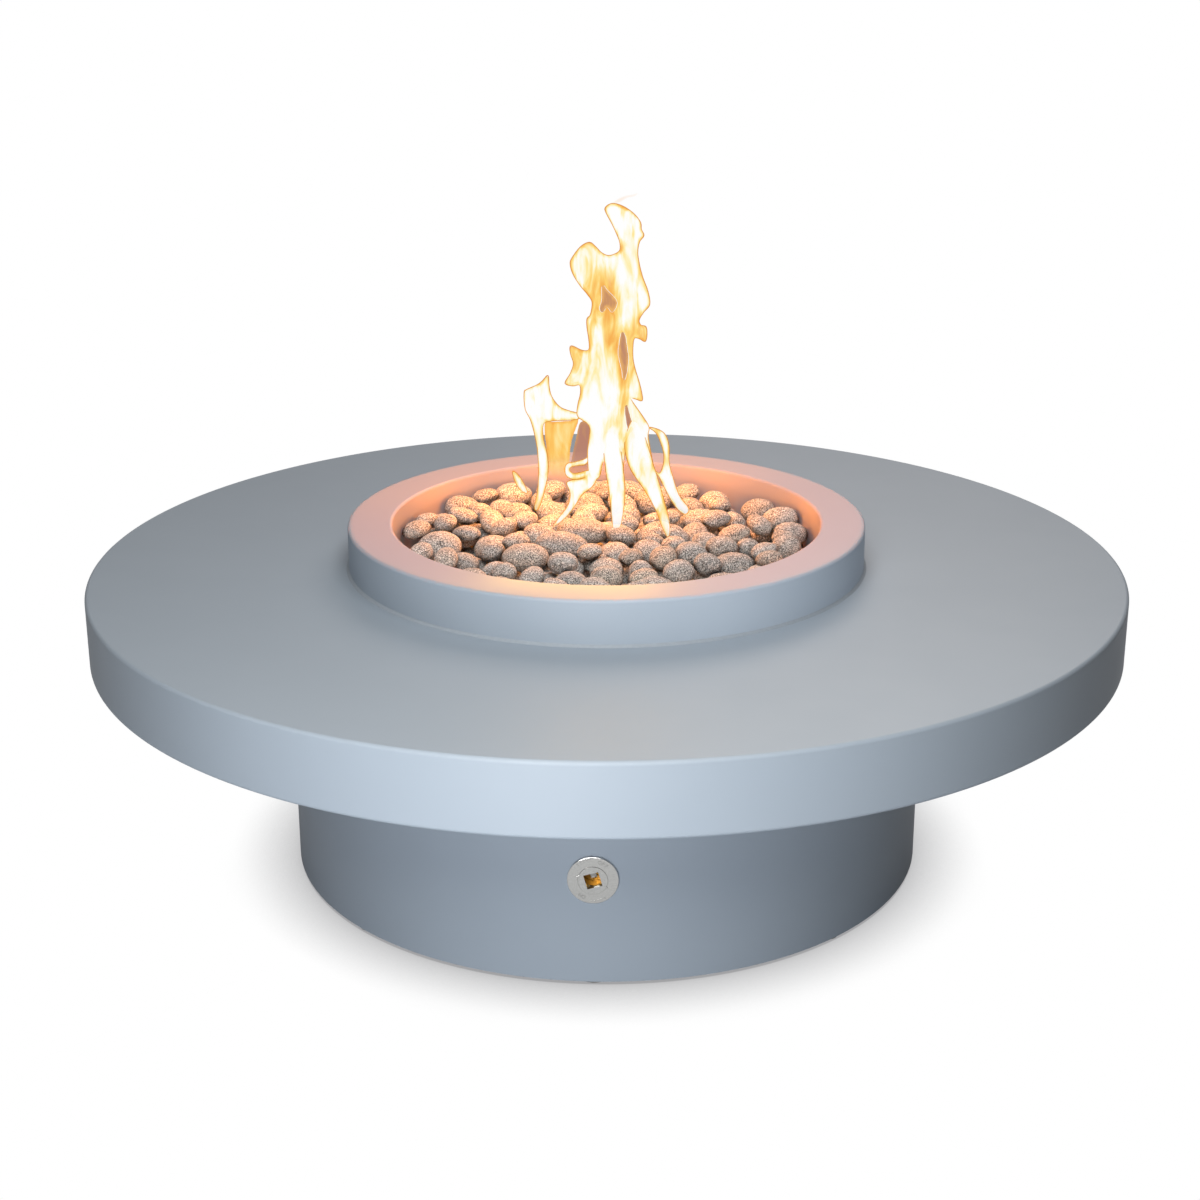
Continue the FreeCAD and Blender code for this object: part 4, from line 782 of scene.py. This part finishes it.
def fire_finish(name, stops, opacity, gloss=1.0, edge_opacity=1.0, fade=(0.34, 0.43)):
    """Glowing gas: its colour runs in upward streaks, warmer with height and towards the sheet's edge.

    It fades out at its foot, between two heights, and where asked also towards its edge. Glossy surfaces
    mirror it yellow and with a bright foot, as the photo shows its reflection on the rim.
    """
    finish = Finish(name)
    place = finish.add("ShaderNodeTexCoord").outputs["Object"]
    drawn = finish.add("ShaderNodeMapping", {"Vector": place})
    drawn.inputs["Scale"].default_value = [1 / size for size in STREAK_SIZE]
    streaks = finish.add("ShaderNodeTexNoise", {"Vector": drawn.outputs[0]}, in_scale=1.6, in_detail=4.0,
                         in_distortion=1.1)
    strands = finish.add("ShaderNodeTexNoise", {"Vector": drawn.outputs[0]}, in_scale=3.4, in_detail=1.0,
                         in_distortion=1.6)
    height = finish.add("ShaderNodeSeparateXYZ", {"Vector": place}).outputs["Z"]
    warmer = finish.between(height, WARM_HEIGHTS, (-0.42, -0.23))
    paler = finish.between(height, PALE_HEIGHTS, (0.0, -0.10))
    edge = finish.add("ShaderNodeAttribute", attribute_name="inwards").outputs["Fac"]
    edge_heat = finish.between(edge, (0.0, 1.0), (0.26, 0.0))
    heat = finish.add("ShaderNodeMath", {0: streaks.outputs["Fac"], 2: warmer},
                      operation="MULTIPLY_ADD", in_1=1.3).outputs[0]
    heat = finish.add("ShaderNodeMath", {0: strands.outputs["Fac"], 2: heat},
                      operation="MULTIPLY_ADD", in_1=0.22).outputs[0]
    for more in (paler, edge_heat):
        heat = finish.add("ShaderNodeMath", {0: heat, 1: more}, operation="ADD").outputs[0]
    mirrored = finish.add("ShaderNodeLightPath").outputs["Is Glossy Ray"]
    extra = finish.between(height, MIRROR_HEIGHTS, (gloss - 1.0, 0.0))
    brightness = finish.add("ShaderNodeMath", {0: extra, 1: mirrored}, operation="MULTIPLY_ADD", in_2=1.0)
    tinted = finish.add("ShaderNodeMix", {"Factor": mirrored, "A": finish.ramp(heat, stops)},
                        data_type="RGBA")
    tinted.inputs["B"].default_value = colour(MIRRORED_FIRE)
    glow = finish.add("ShaderNodeEmission", {
        "Color": tinted.outputs["Result"], "Strength": brightness.outputs[0],
    })
    clear = finish.add("ShaderNodeBsdfTransparent")
    cover = finish.between(heat, (0.3, 0.8), opacity)
    for thinner in (finish.between(edge, (0.0, 0.9), (edge_opacity, 1.0)), finish.between(height, fade)):
        cover = finish.add("ShaderNodeMath", {0: cover, 1: thinner}, operation="MULTIPLY").outputs[0]
    mix = finish.add("ShaderNodeMixShader", {0: cover, 1: clear.outputs[0], 2: glow.outputs[0]})
    finish.surface(mix.outputs[0])
    return finish.material


def flame_finishes():
    return {
        "fire": fire_finish("fire", [
            (0.36, colour("FFFFFF")), (0.48, colour("FFFBE2")), (0.58, colour("FFEDA8")),
            (0.70, colour("FFD574")), (0.88, colour("F7AF4C")),
        ], opacity=(0.98, 0.85), gloss=6.0),
        "thin_fire": fire_finish("thin fire", [
            (0.2, colour("FFE49A")), (0.45, colour("FFCB69")), (0.7, colour("F9AE4C")),
        ], opacity=(0.98, 0.9), gloss=4.0, edge_opacity=0.85, fade=(0.425, 0.46)),
        "vapour": fire_finish("vapour", [
            (0.3, colour("FFF0E0")), (0.7, colour("FBE0C8")),
        ], opacity=(0.6, 0.5), edge_opacity=0.1),
        "smoke": fire_finish("dark gas", [
            (0.35, colour("B98470")), (0.6, colour("CB9468")), (0.8, colour("EBB064")),
        ], opacity=(0.98, 0.9), edge_opacity=0.9, fade=(0.42, 0.48)),
        "seam": fire_finish("burning rim", [
            (0.3, colour("F5B450")), (0.5, colour("EBA03C")), (0.7, colour("D98C34")),
        ], opacity=(0.85, 0.75), gloss=4.0),
    }


def make_sheet(name, loops):
    """A flat sheet of gas, lens-shaped across, that knows how far inwards each of its points lies."""
    sheet = line_object(name, loops, dimensions="2D", fill_mode="BOTH", extrude=FLAT_HALF)
    apply_modifier(sheet, "REMESH", mode="VOXEL", voxel_size=CELL)
    spots = corners(sheet.data)
    rim_distance = far_from(loops[:1], spots[:, :2])
    hole_distance = far_from(loops[1:], spots[:, :2])
    slope = np.clip(np.minimum(rim_distance, hole_distance) / SHEET_SLOPE, 0, 1)
    half = SHEET_HALF * np.sqrt(1 - (1 - slope) ** 2) + SHEET_EDGE
    spots[:, 2] = np.clip(spots[:, 2] / FLAT_HALF, -1, 1) * half
    sheet.data.vertices.foreach_set("co", spots.ravel())
    inwards = sheet.data.attributes.new("inwards", "FLOAT", "POINT")
    share = np.minimum(rim_distance / RIM_WARMTH, hole_distance / HOLE_WARMTH)
    inwards.data.foreach_set("value", np.clip(share, 0, 1))
    apply_modifier(sheet, "SMOOTH", factor=0.5, iterations=6)
    select_only(sheet)
    bpy.ops.object.shade_smooth()
    return sheet


def light_up(thing, finish, loops, top_depth, foot_depth):
    """Stand a flat shape in the fire with its finish. It lights no other surface and throws no shadow."""
    stand_in_fire(thing, loops, top_depth, foot_depth)
    thing.data.materials.clear()
    thing.data.materials.append(finish)
    thing.visible_diffuse = False
    thing.visible_shadow = False


def add_flame():
    finishes = flame_finishes()
    for name, outline_names, kind, top_depth, foot_depth in FLAME_SHEETS:
        loops = [smooth_loop(FLAME_OUTLINES[key]) for key in outline_names]
        light_up(make_sheet(f"flame_{name}", loops), finishes[kind], loops, top_depth, foot_depth)
        if kind == "fire":
            seam = line_object(f"flame_{name}_rim", loops[:1], dimensions="3D", bevel_depth=SEAM_RADIUS,
                               bevel_resolution=2)
            light_up(seam, finishes["seam"], loops, top_depth, foot_depth)


add_flame()


# The stage: floor, world and lamps

def seen_directly(tree):
    """1 for rays from the camera, and half of it for those that come by way of metal or glass."""
    path = tree.add("ShaderNodeLightPath")
    seen = path.outputs["Is Camera Ray"]
    for other in ("Is Glossy Ray", "Is Transmission Ray"):
        half = tree.add("ShaderNodeMath", {0: path.outputs[other]}, operation="MULTIPLY", in_1=0.5)
        seen = tree.add("ShaderNodeMath", {0: seen, 1: half.outputs[0]}, operation="MAXIMUM").outputs[0]
    return seen


FLOOR_SIZE = 60
FLOOR_HEIGHT = -0.5 * MM
SHADOW_REACH = 0.14


def add_floor():
    """A white floor with a painted soft shadow where the drum stands on it."""
    bpy.ops.mesh.primitive_plane_add(size=FLOOR_SIZE, location=(0, 0, FLOOR_HEIGHT))
    floor = bpy.context.object
    floor.name = "floor"
    finish = Finish("white studio floor")
    # Painted shadow: the floor is darker where the drum stands near it.
    near = finish.add("ShaderNodeAmbientOcclusion", in_distance=SHADOW_REACH)
    near.samples = 16
    shade = finish.ramp(near.outputs["AO"], [(0.38, colour("A2A2A4")), (0.86, colour("FFFFFF"))])
    glow = finish.add("ShaderNodeEmission", {"Color": shade}, in_strength=1.0)
    matte = finish.add("ShaderNodeBsdfDiffuse", in_color=colour("94979B"))
    mix = finish.add("ShaderNodeMixShader", {
        0: seen_directly(finish), 1: matte.outputs[0], 2: glow.outputs[0],
    })
    finish.surface(mix.outputs[0])
    floor.data.materials.append(finish.material)


WORLD_LIGHT = 0.01


def add_world():
    """White behind everything, and an even pale light from all round."""
    world = bpy.data.worlds.new("studio")
    bpy.context.scene.world = world
    world.use_nodes = True
    world.node_tree.nodes.clear()
    sky = Nodes(world.node_tree)
    fill = sky.add("ShaderNodeBackground", in_color=colour("E4F0FF"), in_strength=WORLD_LIGHT)
    white = sky.add("ShaderNodeBackground", in_color=colour("FFFFFF"), in_strength=1.0)
    mix = sky.add("ShaderNodeMixShader", {0: seen_directly(sky), 1: fill.outputs[0], 2: white.outputs[0]})
    sky.add("ShaderNodeOutputWorld", {"Surface": mix.outputs[0]})


TABLE_FRONT = (0, -0.3, 0.33)
TABLE_MIDDLE = (0, 0, 0.25)
# Name, place, aim, size, watts and tint. The near ones in front give the walls their quick falloff.
SOFTBOXES = (
    ("low front softbox", (-0.2, -1.62, 0.33), TABLE_FRONT, (0.6, 0.4), 11.8, "FFFFFF"),
    ("high front softbox", (-0.08, -1.5, 1.25), TABLE_FRONT, (0.8, 0.6), 14.5, "FFFAEF"),
    ("ceiling softbox", (0.05, -0.6, 1.9), TABLE_FRONT, (1.0, 1.0), 12.0, "FFFDF8"),
    ("back softbox", (0.4, 1.3, 1.7), TABLE_FRONT, (1.2, 1.0), 15.5, "FFF0E4"),
)
# This one reaches only the collar, whose wall is brighter in front and on the right than the drum's.
COLLAR_SOFTBOX = ("collar softbox", (0.7, -0.9, 0.47), TABLE_MIDDLE, (0.4, 0.3), 2.3, "FFFFFF")


def on_circle(radius, degrees):
    """A place on a circle about the table's axis, turned this far from the right towards the back."""
    return radius * math.cos(math.radians(degrees)), radius * math.sin(math.radians(degrees))


# The flame's own light. Some lamps reach only the collar: a warm spot from above, yellow ones at the front
# of its rim, orange ones inside the bowl's wall, and more over the back of the rim. The embers in the flame
# reach only the stones.
FLAME_HEIGHT = 1.3
FLAME_WATTS = 30
FLAME_TINT = "FF6410"
FLAME_RADIUS = 6 * MM
# Place, watts, tint and radius of each small lamp.
COLLAR_GLOWS = [((across, -0.24, 0.455), 0.11, "FFC21C", 0.02) for across in (-0.09, -0.03, 0.03)] + [
    ((*on_circle(0.19, 15 + 45 * step), 0.412), 0.38, "FF7F1C", 0.02) for step in range(8)
] + [
    ((*on_circle(0.27, 57 + 27 * step), 0.53), 0.26, "FF9628", 0.04) for step in range(5)
]
EMBERS = (
    ((-0.13, 0.10, 0.52), 1.7, "FF922C", 0.03),
    ((0.09, 0.12, 0.52), 1.3, "FF922C", 0.03),
    ((-0.02, 0.13, 0.56), 1.6, "FF922C", 0.03),
    ((-0.02, 0.09, 0.65), 1.9, "FF922C", 0.03),
)


def add_lamp(name, kind, place, watts, tint):
    data = bpy.data.lights.new(name, kind)
    data.energy = watts
    data.color = colour(tint)[:3]
    lamp = bpy.data.objects.new(name, data)
    bpy.context.scene.collection.objects.link(lamp)
    lamp.location = place
    lamp.visible_camera = False
    return lamp


def add_softbox(name, place, aim, size, watts, tint):
    lamp = add_lamp(name, "AREA", place, watts, tint)
    lamp.data.shape = "RECTANGLE"
    lamp.data.size, lamp.data.size_y = size
    lamp.rotation_euler = (Vector(aim) - Vector(place)).to_track_quat("-Z", "Y").to_euler()
    return lamp


def add_glow(name, place, watts, tint, radius):
    """A small warm lamp that metal doesn't mirror."""
    lamp = add_lamp(name, "POINT", place, watts, tint)
    lamp.data.shadow_soft_size = radius
    lamp.visible_glossy = False
    return lamp


def light_only(lamps, start):
    """Let lamps reach only the pieces whose names start so."""
    lit = bpy.data.collections.new(f"lit {start}")
    for thing in bpy.data.objects:
        if thing.name.startswith(start):
            lit.objects.link(thing)
    for lamp in lamps:
        lamp.light_linking.receiver_collection = lit


def add_flame_light():
    above = add_lamp("flame light", "SPOT", (0, 0, FLAME_HEIGHT), FLAME_WATTS, FLAME_TINT)
    above.data.shadow_soft_size = FLAME_RADIUS
    above.data.spot_size = 2 * math.atan(COLLAR_RADIUS / (FLAME_HEIGHT - COLLAR_TOP))
    above.data.spot_blend = 0.02
    glows = [add_glow("collar glow", *glow) for glow in COLLAR_GLOWS]
    light_only([above, *glows, add_softbox(*COLLAR_SOFTBOX)], "fire_collar")
    light_only([add_glow("ember", *ember) for ember in EMBERS], "lava_stones")


add_floor()
add_world()
add_flame_light()
for softbox in SOFTBOXES:
    add_softbox(*softbox)

bpy.context.scene.view_settings.view_transform = "Standard"
